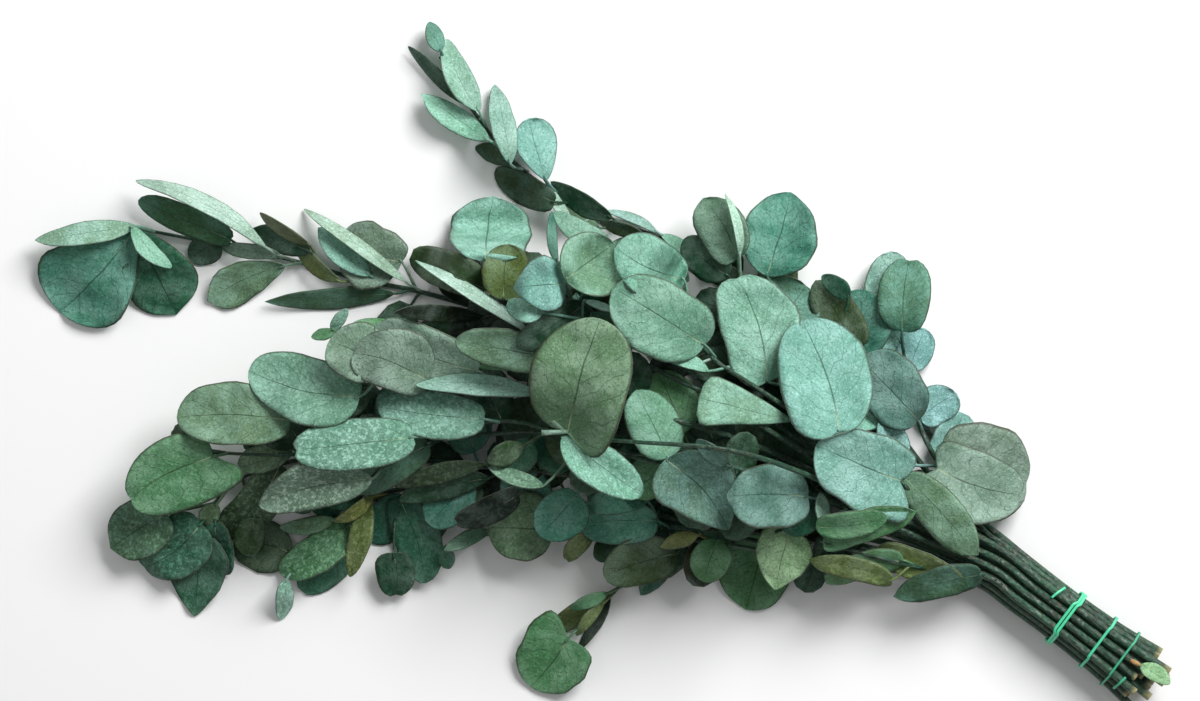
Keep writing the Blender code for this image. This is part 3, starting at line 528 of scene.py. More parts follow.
def inside(outline, x, y):
    """Whether plan points lie inside a closed outline."""
    x = np.asarray(x)
    y = np.asarray(y)
    odd = np.zeros(x.shape, bool)
    ends = outline[1:] + outline[:1]
    for (ax, ay), (bx, by) in zip(outline, ends):
        crosses = (ay > y) != (by > y)
        odd ^= crosses & (x < (bx - ax) * (y - ay) / (by - ay + 1e-9) + ax)
    return odd


def fill_leaves(pile, knots, rng):
    """Pairs of smaller leaves along a stem, where no leaf of the table shows yet."""
    line = along_line(knots[BUNDLE_KNOTS + 1:], 24)
    walked = walk(line[:, :2])
    placed = []
    distance = rng.uniform(45, 60)
    while distance < walked[-1] - 6:
        k = int(np.searchsorted(walked, distance))
        heading = line[min(k + 1, len(line) - 1), :2] - line[k - 1, :2]
        angle = math.atan2(heading[1], heading[0])
        for hand in (-1, 1):
            turn = angle + hand * math.radians(rng.uniform(*FILL_TURN))
            length = rng.uniform(*FILL_LENGTH)
            petiole = rng.uniform(*FILL_PETIOLE)
            way = np.array((math.cos(turn), math.sin(turn)))
            base = line[k, :2] + way * petiole
            tip = base + way * length
            middle = base + way * length * np.linspace(0, 1, 7)[:, None]
            if not inside(DENSE_OUTLINE, middle[:, 0], middle[:, 1]).all():
                continue
            if pile.share_shown(middle[:, 0], middle[:, 1]) > FILL_MOST_SHOWN:
                continue
            tone = rng.choice(FILL_TONES)
            leaf = (*base, *tip, length * rng.uniform(*FILL_WIDTH), tone, "s")
            laid = lay_leaf(pile, line[k], leaf, rng)
            pile.add(*leaf_cover(laid))
            placed.append(laid)
        distance += FILL_SPACING * rng.uniform(0.8, 1.2)
    return placed


def lay_bunch():
    """All stems with their leaves, laid from the bottom row up."""
    pile = Pile()
    bunch = []
    for number, (name, row, place, route, leaves) in enumerate(STEMS):
        rng = random.Random(SEED + number)
        knots, radii = lay_stem(pile, row, place, route, rng)
        laid = []
        if row < FILL_ROWS:
            laid += fill_leaves(pile, knots, rng)
        for leaf in leaves:
            placed = lay_leaf(pile, find_root(knots, leaf[:2]), leaf, rng)
            x, y, z = leaf_cover(placed)
            pile.add(x, y, z)
            pile.mark_shown(x, y)
            laid.append(placed)
        pile.add(*stem_cover(knots, radii))
        pile.finish_stem()
        bunch.append((name, knots, radii, laid))
    return bunch


# The fine leaf: cells across and along a blade, the width from which it gets more, its thickness, and
# how low it may lie. Colours of the leaves are this much richer than their named tones.
BLADE_CELLS = (8, 12)
INNER_CELLS = (4, 6)
WIDE_BLADE = 28.0
BLADE_THICK = 0.4
LEAST_HEIGHT = 0.55
RAGGED_TURNS = 19
RICHNESS = 1.08
STALK_SIDES = 6
STEM_SIDES = 10

# Vertices nearer than this, in metres, are one.
BLADE_WELD = 2e-5
TUBE_WELD = 1e-7

# Leaves with an outline or surface of their own, by stem and place on it. Form v is a fan.
FINE_LEAVES = {
    ("stem_broad", 1): {"lobes": 0.12, "lop": 0.85, "lean": 0.02, "curl": 0.03, "roll": 0.0,
                        "waves": 0.5, "widest": 0.46},
    ("stem_crown", 1): {"lobes": 0.2, "lop": -0.3, "widest": 0.4},
    ("stem_crown", 2): {"lobes": 0.05, "lean": -0.05, "widest": 0.52},
    ("stem_slate", 1): {"curl": 0.03, "lift": 3.0, "waves": 0.3},
    ("stem_mottled", 4): {"lift": 1.6, "curl": 0.0, "waves": 0.4},
    ("stem_left_sprig", 10): {"tip": 0.0, "notch": 0.0},
    ("stem_left_sprig", 13): {"form": "v", "lobes": 0.0, "curl": 0.03, "skew": 0.0, "bow": 0.0},
    ("stem_left_sprig", 12): {"form": "o", "lobes": 0.0, "curl": 0.04, "bow": 0.03},
    ("stem_right_pair", 1): {"lobes": 0.2, "lop": 0.4, "curl": 0.1},
    ("stem_centre_low", 2): {"form": "p", "curl": 0.05},
    ("stem_centre", 6): {"form": "p", "lobes": 0.02},
    ("stem_low_pale", 0): {"lobes": 0.12, "lop": 0.5},
    ("stem_bottom_sprig", 6): {"lobes": 0.16, "lop": 0.5},
}

# Where a stub of stalk shows past a leaf's base, which stems sink at their last two knots, and how
# blotched the leaves of some stems are.
STUBS = {("stem_broad", 1): (-33.0, -33.6)}
SUNK_ENDS = {"stem_slate": (3.5, 10.0)}
MOTTLED_STEMS = {"stem_mottled": 0.55, "stem_far_left_low": 0.5, "stem_lower_left": 0.35,
                 "stem_far_left": 0.25}

# Outline of each form: where it is widest, and how its sides run in to the base and to the tip.
OUTLINES = {
    "f": (0.48, 2.2, 0.5, 2.3, 0.5),
    "b": (0.47, 2.0, 0.6, 2.1, 0.55),
    "e": (0.45, 1.8, 0.65, 1.9, 0.6),
    "h": (0.41, 2.6, 0.5, 2.1, 0.52),
    "o": (0.62, 1.5, 0.78, 2.4, 0.5),
    "p": (0.42, 2.2, 0.5, 1.5, 0.85),
    "w": (0.86, 1.05, 0.85, 2.6, 0.4),
    "v": (0.7, 1.25, 0.72, 2.3, 0.5),
    "s": (0.47, 2.1, 0.5, 2.1, 0.5),
    "i": (0.47, 2.1, 0.5, 2.1, 0.5),
}

# Small dark leaves inside the bunch, whose near-black tones are painted shade for its depths: height of the
# space they are tried in, its layers and the layers left free beside a leaf, the step between pairs, tries
# for each leaf, tones, and ranges as above.
ROOM_HEIGHT = 110
ROOM_LAYER = 1.0
ROOM_GAP = 1
NOT_SEEN = 1e3
INNER_STEP = 6.5
INNER_TRIES = 12
INNER_SHADE_TONES = ("dark", "black", "dark", "pine", "black", "dark")
INNER_TURN = (30, 95)
INNER_PETIOLE = (5, 9)
INNER_LENGTH = (20, 33)
INNER_WIDTH = (0.75, 0.98)
INNER_SLOPE = (-28, 20)
INNER_ROLL = (-24, 24)
STRAY_HEIGHT = 24.6

# Colours of dust, age, veins and wood.
DUST = linear((206, 232, 216))
BLOOM = linear((188, 216, 206))
AGED_OLIVE = linear((112, 112, 66))
PALE_RIB = linear((176, 190, 150))
PALE_BACK = linear((168, 200, 184))
DRY_MARGIN = linear((62, 58, 44))
BARK_DARK = linear((16, 46, 33))
BARK_PALE = linear((32, 82, 58))
BARK_STREAK = linear((54, 118, 86))
BARK_SPECK = linear((112, 150, 122))
BARK_SCAR = linear((84, 66, 40))
CUT_WOOD = linear((186, 178, 130))
TAN_STUB = linear((208, 158, 100))
PALE_STUB = linear((150, 186, 166))

# Camera: straight down, so that half a millimetre is one pixel of the photograph.
CAMERA_AIM = (-4.0, 7.25, 40.0)
CAMERA_LENS = 200.0
CAMERA_SENSOR = 36.0
FRAME_WIDTH = 600.0

# Stage: height of the floor, light of the world, and area lights: name, place, size and power.
FLOOR_HEIGHT = -0.6
WORLD_STRENGTH = 0.3
LIGHTS = (("key", (1.0, 1.3, 1.5), 1.2, 66.0), ("fill", (-1.2, 0.4, 1.5), 1.4, 2.5))


def smooth_line(knots, per_gap):
    """A smooth curve through knots, with per_gap points for each stretch."""
    knots = np.asarray(knots, float)
    ends = np.vstack([2 * knots[0] - knots[1], knots, 2 * knots[-1] - knots[-2]])
    points = []
    for k in range(1, len(ends) - 2):
        a, b, c, d = ends[k - 1:k + 3]
        for t in np.arange(per_gap) / per_gap:
            points.append(0.5 * (2 * b + (c - a) * t + (2 * a - 5 * b + 4 * c - d) * t ** 2
                                 + (3 * b - a - 3 * c + d) * t ** 3))
    return np.array(points + [knots[-1]])


def node(tree, kind, **values):
    """A shader node with its properties and input values set."""
    made = tree.nodes.new(kind)
    for key, value in values.items():
        if hasattr(made, key):
            setattr(made, key, value)
        else:
            made.inputs[key.replace("_", " ")].default_value = value
    return made


def maths(tree, operation, first, second=None, third=None):
    """A Math node fed by sockets or numbers."""
    made = tree.nodes.new("ShaderNodeMath")
    made.operation = operation
    for i, value in enumerate((first, second, third)):
        if value is None:
            continue
        if isinstance(value, (int, float)):
            made.inputs[i].default_value = value
        else:
            tree.links.new(value, made.inputs[i])
    return made.outputs[0]


def mix(tree, share, first, second, blend="MIX"):
    """A colour Mix node fed by sockets, numbers or colours."""
    made = tree.nodes.new("ShaderNodeMix")
    made.data_type = "RGBA"
    made.blend_type = blend
    made.clamp_result = True
    for i, value in ((0, share), (6, first), (7, second)):
        if isinstance(value, bpy.types.NodeSocket):
            tree.links.new(value, made.inputs[i])
        elif isinstance(value, (int, float)):
            made.inputs[i].default_value = value
        else:
            made.inputs[i].default_value = (*value, 1)
    return made.outputs[2]


def ramp(tree, value, low, high, from_value=0.0, to_value=1.0):
    """A smooth step of a value between low and high."""
    made = node(tree, "ShaderNodeMapRange", interpolation_type="SMOOTHSTEP", From_Min=low, From_Max=high,
                To_Min=from_value, To_Max=to_value)
    tree.links.new(value, made.inputs["Value"])
    return made.outputs["Result"]


def times(tree, first, second):
    """The product of two sockets or numbers."""
    return maths(tree, "MULTIPLY", first, second)


def attribute(tree, name):
    """The outputs that read an attribute of the mesh."""
    return node(tree, "ShaderNodeAttribute", attribute_name=name).outputs


def noise(tree, vector, size, detail):
    """Noise of a fixed size, in the space of a vector."""
    made = node(tree, "ShaderNodeTexNoise", Scale=size, Detail=detail)
    tree.links.new(vector, made.inputs["Vector"])
    return made.outputs["Fac"]


def bump(tree, height, strength, distance, normal=None):
    """A normal bent by a height, over another normal where one is given."""
    made = node(tree, "ShaderNodeBump", Strength=strength, Distance=distance)
    tree.links.new(height, made.inputs["Height"])
    if normal is not None:
        tree.links.new(normal, made.inputs["Normal"])
    return made.outputs[0]


def new_group(name, inputs, outputs):
    """A node group with its input and output nodes. Every output is a single value."""
    group = bpy.data.node_groups.new(name, "ShaderNodeTree")
    for label, kind in inputs:
        group.interface.new_socket(label, in_out="INPUT", socket_type=kind)
    for label in outputs:
        group.interface.new_socket(label, in_out="OUTPUT", socket_type="NodeSocketFloat")
    return group, group.nodes.new("NodeGroupInput"), group.nodes.new("NodeGroupOutput")


def vein_group():
    """Midrib, side veins, net and margin of a blade, from its own coordinates: across and along."""
    labels = ("Midrib", "Side veins", "Net", "Margin", "Along")
    group, start, end = new_group("blade veins", (("Blade", "NodeSocketVector"),), labels)
    parts = group.nodes.new("ShaderNodeSeparateXYZ")
    group.links.new(start.outputs["Blade"], parts.inputs[0])
    sway = maths(group, "SUBTRACT", noise(group, start.outputs["Blade"], 2.6, 2.0), 0.5)
    across = maths(group, "ABSOLUTE", maths(group, "MULTIPLY_ADD", sway, 0.1, parts.outputs[0]))
    thin = maths(group, "MULTIPLY_ADD", parts.outputs[1], -0.02, 0.034)
    rise = maths(group, "MULTIPLY_ADD", across, -2.6,
                 maths(group, "MULTIPLY_ADD", sway, 1.6, times(group, parts.outputs[1], 6.5)))
    cells = node(group, "ShaderNodeTexVoronoi", feature="DISTANCE_TO_EDGE", Scale=11.0)
    group.links.new(start.outputs["Blade"], cells.inputs["Vector"])
    values = (
        ramp(group, maths(group, "DIVIDE", across, thin), 1.0, 0.35),
        ramp(group, maths(group, "PINGPONG", rise, 0.5), 0.055, 0.01),
        ramp(group, cells.outputs["Distance"], 0.07, 0.0),
        ramp(group, maths(group, "ABSOLUTE", parts.outputs[0]), 0.93, 0.985),
        parts.outputs[1],
    )
    for label, value in zip(labels, values):
        group.links.new(value, end.inputs[label])
    return group


def mottle_group():
    """Soft patches, blotches and fine dark and pale specks in an object's own space."""
    labels = ("Patches", "Blotches", "Dark specks", "Pale specks")
    group, start, end = new_group(
        "mottle", (("Patch size", "NodeSocketFloat"), ("Speck size", "NodeSocketFloat")), labels)
    place = group.nodes.new("ShaderNodeTexCoord")

    def rough_noise(size, detail):
        made = node(group, "ShaderNodeTexNoise", Detail=detail, Roughness=0.62)
        group.links.new(place.outputs["Object"], made.inputs["Vector"])
        group.links.new(size, made.inputs["Scale"])
        return made.outputs["Fac"]

    patches = rough_noise(start.outputs["Patch size"], 3.0)
    blotches = rough_noise(times(group, start.outputs["Patch size"], 7.4), 4.0)
    specks = rough_noise(start.outputs["Speck size"], 3.0)
    ranges = ((patches, 0.36, 0.66), (blotches, 0.48, 0.62), (specks, 0.46, 0.3), (specks, 0.54, 0.7))
    for label, (value, low, high) in zip(labels, ranges):
        group.links.new(ramp(group, value, low, high), end.inputs[label])
    return group


def new_material(name, roughness):
    """A material with its tree and its Principled shader."""
    material = bpy.data.materials.new(name)
    material.use_nodes = True
    shader = material.node_tree.nodes["Principled BSDF"]
    shader.inputs["Roughness"].default_value = roughness
    return material, material.node_tree, shader


def place_group(tree, group, **values):
    """A node group in a tree, with its input values set."""
    return node(tree, "ShaderNodeGroup", node_tree=group, **values)


def shade(tree, share, body, tone, tint):
    """The body colour with a share of the leaf's own tone darkened or tinted over it."""
    return mix(tree, share, body, mix(tree, 1.0, tone, tint, "MULTIPLY"))


def blade_material(veins, mottle):
    """Preserved leaf: dyed green with fine veins, specks, blotches, a thin dark margin, a pale back and
    painted shade toward the base.
    """
    material, tree, shader = new_material("preserved leaf", 0.5)
    tone = attribute(tree, "tone")["Color"]
    traits = tree.nodes.new("ShaderNodeSeparateXYZ")
    tree.links.new(attribute(tree, "wear")["Vector"], traits.inputs[0])
    age, blotched = traits.outputs[0], traits.outputs[1]
    lines = place_group(tree, veins)
    tree.links.new(attribute(tree, "blade")["Vector"], lines.inputs["Blade"])
    lines = lines.outputs
    spots = place_group(tree, mottle, Patch_size=62.0, Speck_size=950.0).outputs
    patches, blotches = spots["Patches"], spots["Blotches"]
    body = mix(tree, patches, mix(tree, 1.0, tone, (0.72, 0.8, 0.74), "MULTIPLY"),
               mix(tree, 0.16, tone, DUST))
    bright = mix(tree, 1.0, tone, (1.8, 1.6, 1.7), "MULTIPLY")
    aged = times(tree, age, maths(tree, "MULTIPLY_ADD", patches, -0.8, 0.8))
    body = mix(tree, aged, body, AGED_OLIVE)
    body = mix(tree, times(tree, blotched, blotches), body, mix(tree, 0.12, bright, BLOOM))
    body = shade(tree, times(tree, blotched, maths(tree, "SUBTRACT", 0.8, blotches)), body, tone,
                 (0.36, 0.46, 0.42))
    # Painted shade: the blade darkens toward its base, as in the fold by the stalk.
    body = shade(tree, times(tree, ramp(tree, lines["Along"], 0.32, 0.04), 0.4), body, tone,
                 (0.5, 0.62, 0.54))
    body = shade(tree, times(tree, spots["Dark specks"], 0.75), body, tone, (0.32, 0.4, 0.34))
    body = mix(tree, times(tree, spots["Pale specks"], 0.6), body, bright)
    body = shade(tree, times(tree, lines["Net"], 0.34), body, tone, (0.38, 0.48, 0.4))
    body = shade(tree, times(tree, lines["Side veins"], 0.58), body, tone, (0.34, 0.42, 0.36))
    rib = mix(tree, ramp(tree, lines["Along"], 0.05, 0.3), PALE_RIB,
              mix(tree, 1.0, tone, (0.16, 0.19, 0.14), "MULTIPLY"))
    body = mix(tree, times(tree, lines["Midrib"], 0.72), body, rib)
    rimmed = mix(tree, times(tree, lines["Margin"], 0.75), body, DRY_MARGIN)
    under = mix(tree, 0.3, rimmed, PALE_BACK)
    tree.links.new(mix(tree, attribute(tree, "back")["Fac"], rimmed, under), shader.inputs["Base Color"])
    tree.links.new(ramp(tree, patches, 0.0, 1.0, 0.42, 0.6), shader.inputs["Roughness"])
    height = times(tree, blotches, 0.5)
    for value, depth in ((lines["Net"], -0.2), (spots["Dark specks"], -0.35), (lines["Side veins"], -0.4),
                         (lines["Midrib"], -0.9)):
        height = maths(tree, "MULTIPLY_ADD", value, depth, height)
    place = tree.nodes.new("ShaderNodeTexCoord").outputs["Object"]
    dents = bump(tree, noise(tree, place, 48.0, 1.5), 0.9, 0.007)
    tree.links.new(bump(tree, height, 0.5, 0.0005, dents), shader.inputs["Normal"])
    shader.inputs["Specular IOR Level"].default_value = 0.24
    return material


def bark_material(mottle):
    """Thin dark bark with paler lengthwise streaks, specks and brown scars."""
    material, tree, shader = new_material("green bark", 0.5)
    tone = attribute(tree, "tone")["Color"]
    streaks = ramp(tree, noise(tree, attribute(tree, "blade")["Vector"], 2.2, 4.0), 0.44, 0.66)
    spots = place_group(tree, mottle, Patch_size=48.0, Speck_size=520.0).outputs
    body = mix(tree, times(tree, streaks, 0.34), tone, BARK_STREAK)
    body = mix(tree, times(tree, spots["Pale specks"], 0.4), body, BARK_SPECK)
    body = shade(tree, times(tree, spots["Dark specks"], 0.6), body, tone, (0.3, 0.34, 0.3))
    scars = times(tree, spots["Blotches"], maths(tree, "SUBTRACT", 1.0, streaks))
    body = mix(tree, times(tree, scars, 0.35), body, BARK_SCAR)
    tree.links.new(body, shader.inputs["Base Color"])
    tree.links.new(ramp(tree, streaks, 0.0, 1.0, 0.38, 0.6), shader.inputs["Roughness"])
    height = maths(tree, "ADD", streaks, spots["Dark specks"])
    tree.links.new(bump(tree, height, 0.6, 0.0004), shader.inputs["Normal"])
    return material


def rubber_material(name, tone, mottle):
    """Smooth rubber band, a little dusty and uneven in tone."""
    material, tree, shader = new_material(name, 0.42)
    spots = place_group(tree, mottle, Patch_size=140.0, Speck_size=900.0).outputs
    dusty = mix(tree, times(tree, spots["Patches"], 0.35), linear(tone),
                [min(1.0, c * 1.25 + 0.03) for c in linear(tone)])
    tree.links.new(dusty, shader.inputs["Base Color"])
    tree.links.new(ramp(tree, spots["Blotches"], 0.0, 1.0, 0.36, 0.52), shader.inputs["Roughness"])
    tree.links.new(bump(tree, spots["Dark specks"], 0.25, 0.0002), shader.inputs["Normal"])
    return material


def layers(bm):
    """The tone, blade coordinates and back flag that the leaf material reads."""
    return (bm.verts.layers.float_color.new("tone"), bm.verts.layers.float_vector.new("blade"),
            bm.verts.layers.float_vector.new("wear"), bm.verts.layers.float.new("back"))


def sheet(bm, columns, rows):
    """Vertices of a grid whose x and y, from -1 to 1, are its columns and rows."""
    return bmesh.ops.create_grid(bm, x_segments=columns, y_segments=rows, size=1.0)["verts"]


def weld(bm, made, gap):
    """Faces of a shaped sheet after the vertices that meet are merged."""
    faces = list({face for vert in made for face in vert.link_faces})
    bmesh.ops.remove_doubles(bm, verts=made, dist=gap)
    return [face for face in faces if face.is_valid]


def close_ends(bm, faces):
    """The faces and caps on their open ends."""
    rims = {edge for face in faces for edge in face.edges if len(edge.link_faces) == 1}
    return faces + bmesh.ops.holes_fill(bm, edges=list(rims), sides=0)["faces"]


def smooth_faces(faces, material_index=0):
    """Shade faces smooth, with one of the piece's materials: 0 for leaves and 1 for bark."""
    for face in faces:
        face.smooth = True
        face.material_index = material_index


def add_tube(bm, marks, points, radii, sides, colours, material_index=1):
    """A round tube along points, in millimetres, closed at both ends."""
    tone, blade, _, _ = marks
    points = np.asarray(points, float)
    walked = walk(points)
    heading = np.gradient(points, axis=0)
    heading /= np.linalg.norm(heading, axis=1)[:, None] + 1e-12
    made = sheet(bm, sides, len(points) - 1)
    for vert in made:
        k = round((vert.co.y + 1) / 2 * (len(points) - 1))
        turn = math.pi * (vert.co.x + 1)
        ahead = Vector(heading[k])
        right = ahead.cross(Vector((0, 0, 1)))
        right = right.normalized() if right.length > 1e-6 else Vector((1, 0, 0))
        up = right.cross(ahead)
        spot = Vector(points[k]) + (right * math.cos(turn) + up * math.sin(turn)) * float(radii[k])
        vert.co = spot * MM
        vert[tone] = (*colours[k], 1)
        vert[blade] = (math.cos(turn), math.sin(turn), 0.09 * float(walked[k]))
    faces = close_ends(bm, weld(bm, made, TUBE_WELD))
    smooth_faces(faces, material_index)
    bmesh.ops.recalc_face_normals(bm, faces=faces)


def outline_reach(form, u, widest):
    """Share of a blade's half width at u, from base to tip."""
    _, toward_base, base_curve, toward_tip, tip_curve = OUTLINES[form]
    if u < widest:
        return max(0.0, 1 - ((widest - u) / widest) ** toward_base) ** base_curve
    return max(0.0, 1 - ((u - widest) / (1 - widest)) ** toward_tip) ** tip_curve


def leaf_traits(leaf, rng):
    """What makes this leaf its own: colour, outline, waves, folds and wear."""
    fine = FINE_LEAVES.get((leaf.get("stem"), leaf.get("place")), {})
    form = fine.get("form", leaf["form"])
    colour = np.array(linear(TONES[leaf["tone"]])) * rng.uniform(0.92, 1.08)
    grey = float(colour @ (0.21, 0.72, 0.07))
    colour = np.maximum(grey + (colour - grey) * RICHNESS, 0.002)
    half = leaf["width"] / 2
    wide = min(1.0, half / 12)
    own = {
        "colour": [float(c * rng.uniform(0.96, 1.04)) for c in colour],
        "widest": OUTLINES[form][0] + rng.uniform(-0.04, 0.04),
        "lean": rng.uniform(-0.12, 0.12),
        "lop": rng.uniform(-0.6, 0.6),
        "skew": rng.uniform(-0.08, 0.08),
        "bow": rng.uniform(-0.045, 0.045),
        "tip": rng.choice((0.0, 0.0, 0.02, 0.04)) * (1 if form in "feob" else 0),
        "lift": 0.0,
        "ragged": rng.choice((0.006, 0.012, 0.02, 0.032)),
        "corners": (rng.uniform(0.015, 0.055), rng.uniform(3.5, 8.5)),
        "lobes": {"h": 0.13, "f": 0.06, "s": 0.03, "i": 0.03}.get(form, 0.0) * rng.uniform(0.6, 1.3),
        "curl": rng.uniform(-0.1, 0.12) * (0.4 if form in "bw" else 1.0),
        "waves": min(1.3, rng.uniform(0.015, 0.05) * leaf["width"]),
        "turns": rng.choice((1.5, 2.0, 2.5, 3.0)),
        "start": rng.uniform(0, math.tau),
        "roll": rng.uniform(-0.9, 0.9) * wide,
        "notch": rng.choice((0.0, 0.0, 0.02, 0.04)) * (1 if form in "fh" else 0),
        "wear": [rng.choice((0.0, 0.05, 0.12, 0.35)), rng.choice((0.0, 0.08, 0.15, 0.3)), 0.0],
    }
    if form != "i":
        own["wear"][1] += MOTTLED_STEMS.get(leaf.get("stem"), 0.0) * rng.uniform(0.5, 1.0)
    own.update(fine)
    return own


def add_blade(bm, marks, leaf, rng):
    """One fine leaf: a stalk and a thin waved blade on the rows of its laid strip."""
    centres = leaf["centres"]
    own = leaf_traits(leaf, rng)
    stalk = smooth_line(centres[:3], 4)[:6]
    add_tube(bm, marks, stalk, np.linspace(0.85, 0.6, len(stalk)), STALK_SIDES,
             [[c * 0.8 for c in own["colour"]]] * len(stalk))
    line = smooth_line(centres[1:], 10)
    across_cells, along_cells = INNER_CELLS if own.get("form", leaf["form"]) == "i" else BLADE_CELLS
    if leaf["width"] > WIDE_BLADE:
        across_cells, along_cells = across_cells + 2, along_cells + 6
    made = sheet(bm, across_cells, along_cells)
    shape_blade(made, marks, leaf, own, line)
    faces = weld(bm, made, BLADE_WELD)
    if sum(face.normal.z for face in faces) < 0:
        bmesh.ops.reverse_faces(bm, faces=faces)
    thicken(bm, made, faces, marks[3])


def shape_blade(made, marks, leaf, own, line):
    """Give a sheet the outline, folds and waves of a leaf along its middle line."""
    tone, blade, wear, _ = marks
    form = own.get("form", leaf["form"])
    half = leaf["width"] / 2
    row = 3 if len(leaf["tilt"]) > 4 else 2
    slope = float(leaf["tilt"][row] / max(leaf["reach"][row], 1e-6))
    walked = walk(line[:, :2])
    length = float(walked[-1])
    side = np.array([*leaf["side"], 0.0])
    heading = line[-1, :2] - line[0, :2]
    heading = np.array([*(heading / np.linalg.norm(heading)), 0.0])
    start = own["start"]
    for vert in made:
        t = vert.co.x
        u = (1 - math.cos(math.pi * (vert.co.y + 1) / 2)) / 2
        hand = 1 if t > 0 else -1
        reach = half * outline_reach(form, u, own["widest"] + own["skew"] * hand) * (1 + own["lean"] * hand)
        reach *= 1 + own["corners"][0] * math.sin(own["corners"][1] * u + start + 2 * hand) \
            + own["ragged"] * math.sin(RAGGED_TURNS * u + 3 * start * hand)
        across = t * reach
        lobe = own["lobes"] * (1 + own["lop"] * hand) * 2 * (1 - u) ** 2.2 * (abs(across) / half) ** 1.2
        near_middle = max(0.0, 1 - abs(across) / (0.3 * half)) * max(0.0, u - 0.8) * 5
        behind = (lobe + (own["notch"] - own["tip"]) * near_middle) * length
        rim = min(1.0, 4 * reach / half)
        waves = own["waves"] * math.sin(math.tau * own["turns"] * u + start + 0.9 * hand) * t * t
        z = slope * across + FOLDS[leaf["form"]] * abs(across) + own["curl"] * across ** 2 / max(half, 1) \
            + rim * (waves + own["roll"] * t ** 6) + own["lift"] * math.sin(math.pi * u)
        spine = np.array([np.interp(u * length, walked, line[:, i]) for i in range(3)])
        spot = spine + side * (across + own["bow"] * length * math.sin(math.pi * u)) - heading * behind
        vert.co = Vector((spot[0], spot[1], max(spot[2] + z, LEAST_HEIGHT))) * MM
        vert[tone] = (*own["colour"], 1)
        vert[blade] = (t, u, start)
        vert[wear] = own["wear"]


def thicken(bm, made, faces, back):
    """Give a blade its back and rim, without the far corners that sharp tips throw."""
    known = set(bm.verts)
    near = kdtree.KDTree(len(made))
    for k, vert in enumerate(vert for vert in made if vert.is_valid):
        near.insert(vert.co, k)
    near.balance()
    thick = bmesh.ops.solidify(bm, geom=faces, thickness=BLADE_THICK * MM)["geom"]
    for vert in bm.verts:
        if vert not in known:
            vert[back] = 1.0
            spot, _, gap = near.find(vert.co)
            if gap > 2 * BLADE_THICK * MM:
                vert.co = spot - Vector((0, 0, BLADE_THICK * MM))
    faces = set(faces + [item for item in thick if isinstance(item, bmesh.types.BMFace)])
    smooth_faces(face for face in faces if face.is_valid)


class Room:
    """Which plan cells and layers of the bunch are taken, and how high the seen leaves lie."""

    def __init__(self):
        self.seen = plan_grid(NOT_SEEN)
        self.taken = np.zeros((*self.seen.shape, int(ROOM_HEIGHT / ROOM_LAYER)), bool)

    def take(self, x, y, z, seen=False):
        i, j = plan_cells(x, y)
        k = (z / ROOM_LAYER).astype(int)
        for layer in range(-ROOM_GAP, ROOM_GAP + 1):
            self.taken[i, j, np.clip(k + layer, 0, self.taken.shape[2] - 1)] = True
        if seen:
            lowest = plan_grid(NOT_SEEN)
            np.minimum.at(lowest, (i, j), z)
            better = (lowest < NOT_SEEN) & ((self.seen == NOT_SEEN) | (lowest > self.seen))
            self.seen[better] = lowest[better]

    def free(self, x, y, z):
        i, j = plan_cells(x, y)
        k = np.clip((z / ROOM_LAYER).astype(int), 0, self.taken.shape[2] - 1)
        return z.min() > 1.2 and not self.taken[i, j, k].any() and bool((z < self.seen[i, j] - 1).all())


def inner_leaves(bunch):
    """Small dark leaves on the stems where the bunch has room for them, under the leaves that show; their
    near-black tones are painted shade.
    """
    rng = random.Random(SEED * 3)
    room = Room()
    for _, knots, radii, laid in bunch:
        x, y, z = stem_cover(knots, radii)
        room.take(x, y, z)
        room.take(x, y, np.maximum(z - 2, 0))
        for leaf in laid:
            room.take(*leaf_cover(leaf), seen=leaf["form"] != "s")
    added = []
    for number, (_, knots, _, _) in enumerate(bunch):
        line = along_line(knots[BUNDLE_KNOTS:], 12)
        walked = walk(line)
        distance = rng.uniform(20, 30)
        while distance < walked[-1] - 8:
            k = max(1, int(np.searchsorted(walked, distance)))
            ahead = line[k, :2] - line[k - 1, :2]
            angle = math.atan2(ahead[1], ahead[0])
            for hand in (-1, 1):
                for _ in range(INNER_TRIES):
                    leaf = inner_leaf(line[k], angle + hand * math.radians(rng.uniform(*INNER_TURN)), rng)
                    x, y, z = leaf_cover(leaf)
                    far = np.hypot(x - line[k, 0], y - line[k, 1]) > 5
                    if inside(DENSE_OUTLINE, x[::9], y[::9]).all() and room.free(x[far], y[far], z[far]):
                        room.take(x, y, z)
                        added.append((number, leaf))
                        break
            distance += INNER_STEP * rng.uniform(0.7, 1.3)
    return added


def inner_leaf(root, angle, rng):
    """A small leaf from a stem's point toward an angle in plan, with its own slope and roll."""
    petiole = rng.uniform(*INNER_PETIOLE)
    length = rng.uniform(*INNER_LENGTH)
    width = length * rng.uniform(*INNER_WIDTH)
    way = np.array((math.cos(angle), math.sin(angle)))
    slope = math.tan(math.radians(rng.uniform(*INNER_SLOPE)))
    roll = math.tan(math.radians(rng.uniform(*INNER_ROLL)))
    steps = np.array((0.0, petiole, petiole + 0.2 * length, petiole + 0.55 * length,
                      petiole + 0.84 * length, petiole + length))
    reach = np.array((PETIOLE_HALF, PETIOLE_HALF, 0.43 * width, 0.5 * width, 0.32 * width, 0.0))
    z = root[2] + 0.15 * np.minimum(steps, petiole) + slope * np.maximum(steps - petiole, 0)
    # The inner leaf's tone is painted shade: a near-black green for the shadow inside the bunch.
    return plain_leaf(root[:2], way, steps, z, reach, roll, FOLDS["i"], rng.choice(INNER_SHADE_TONES), "i",
                      length, width)


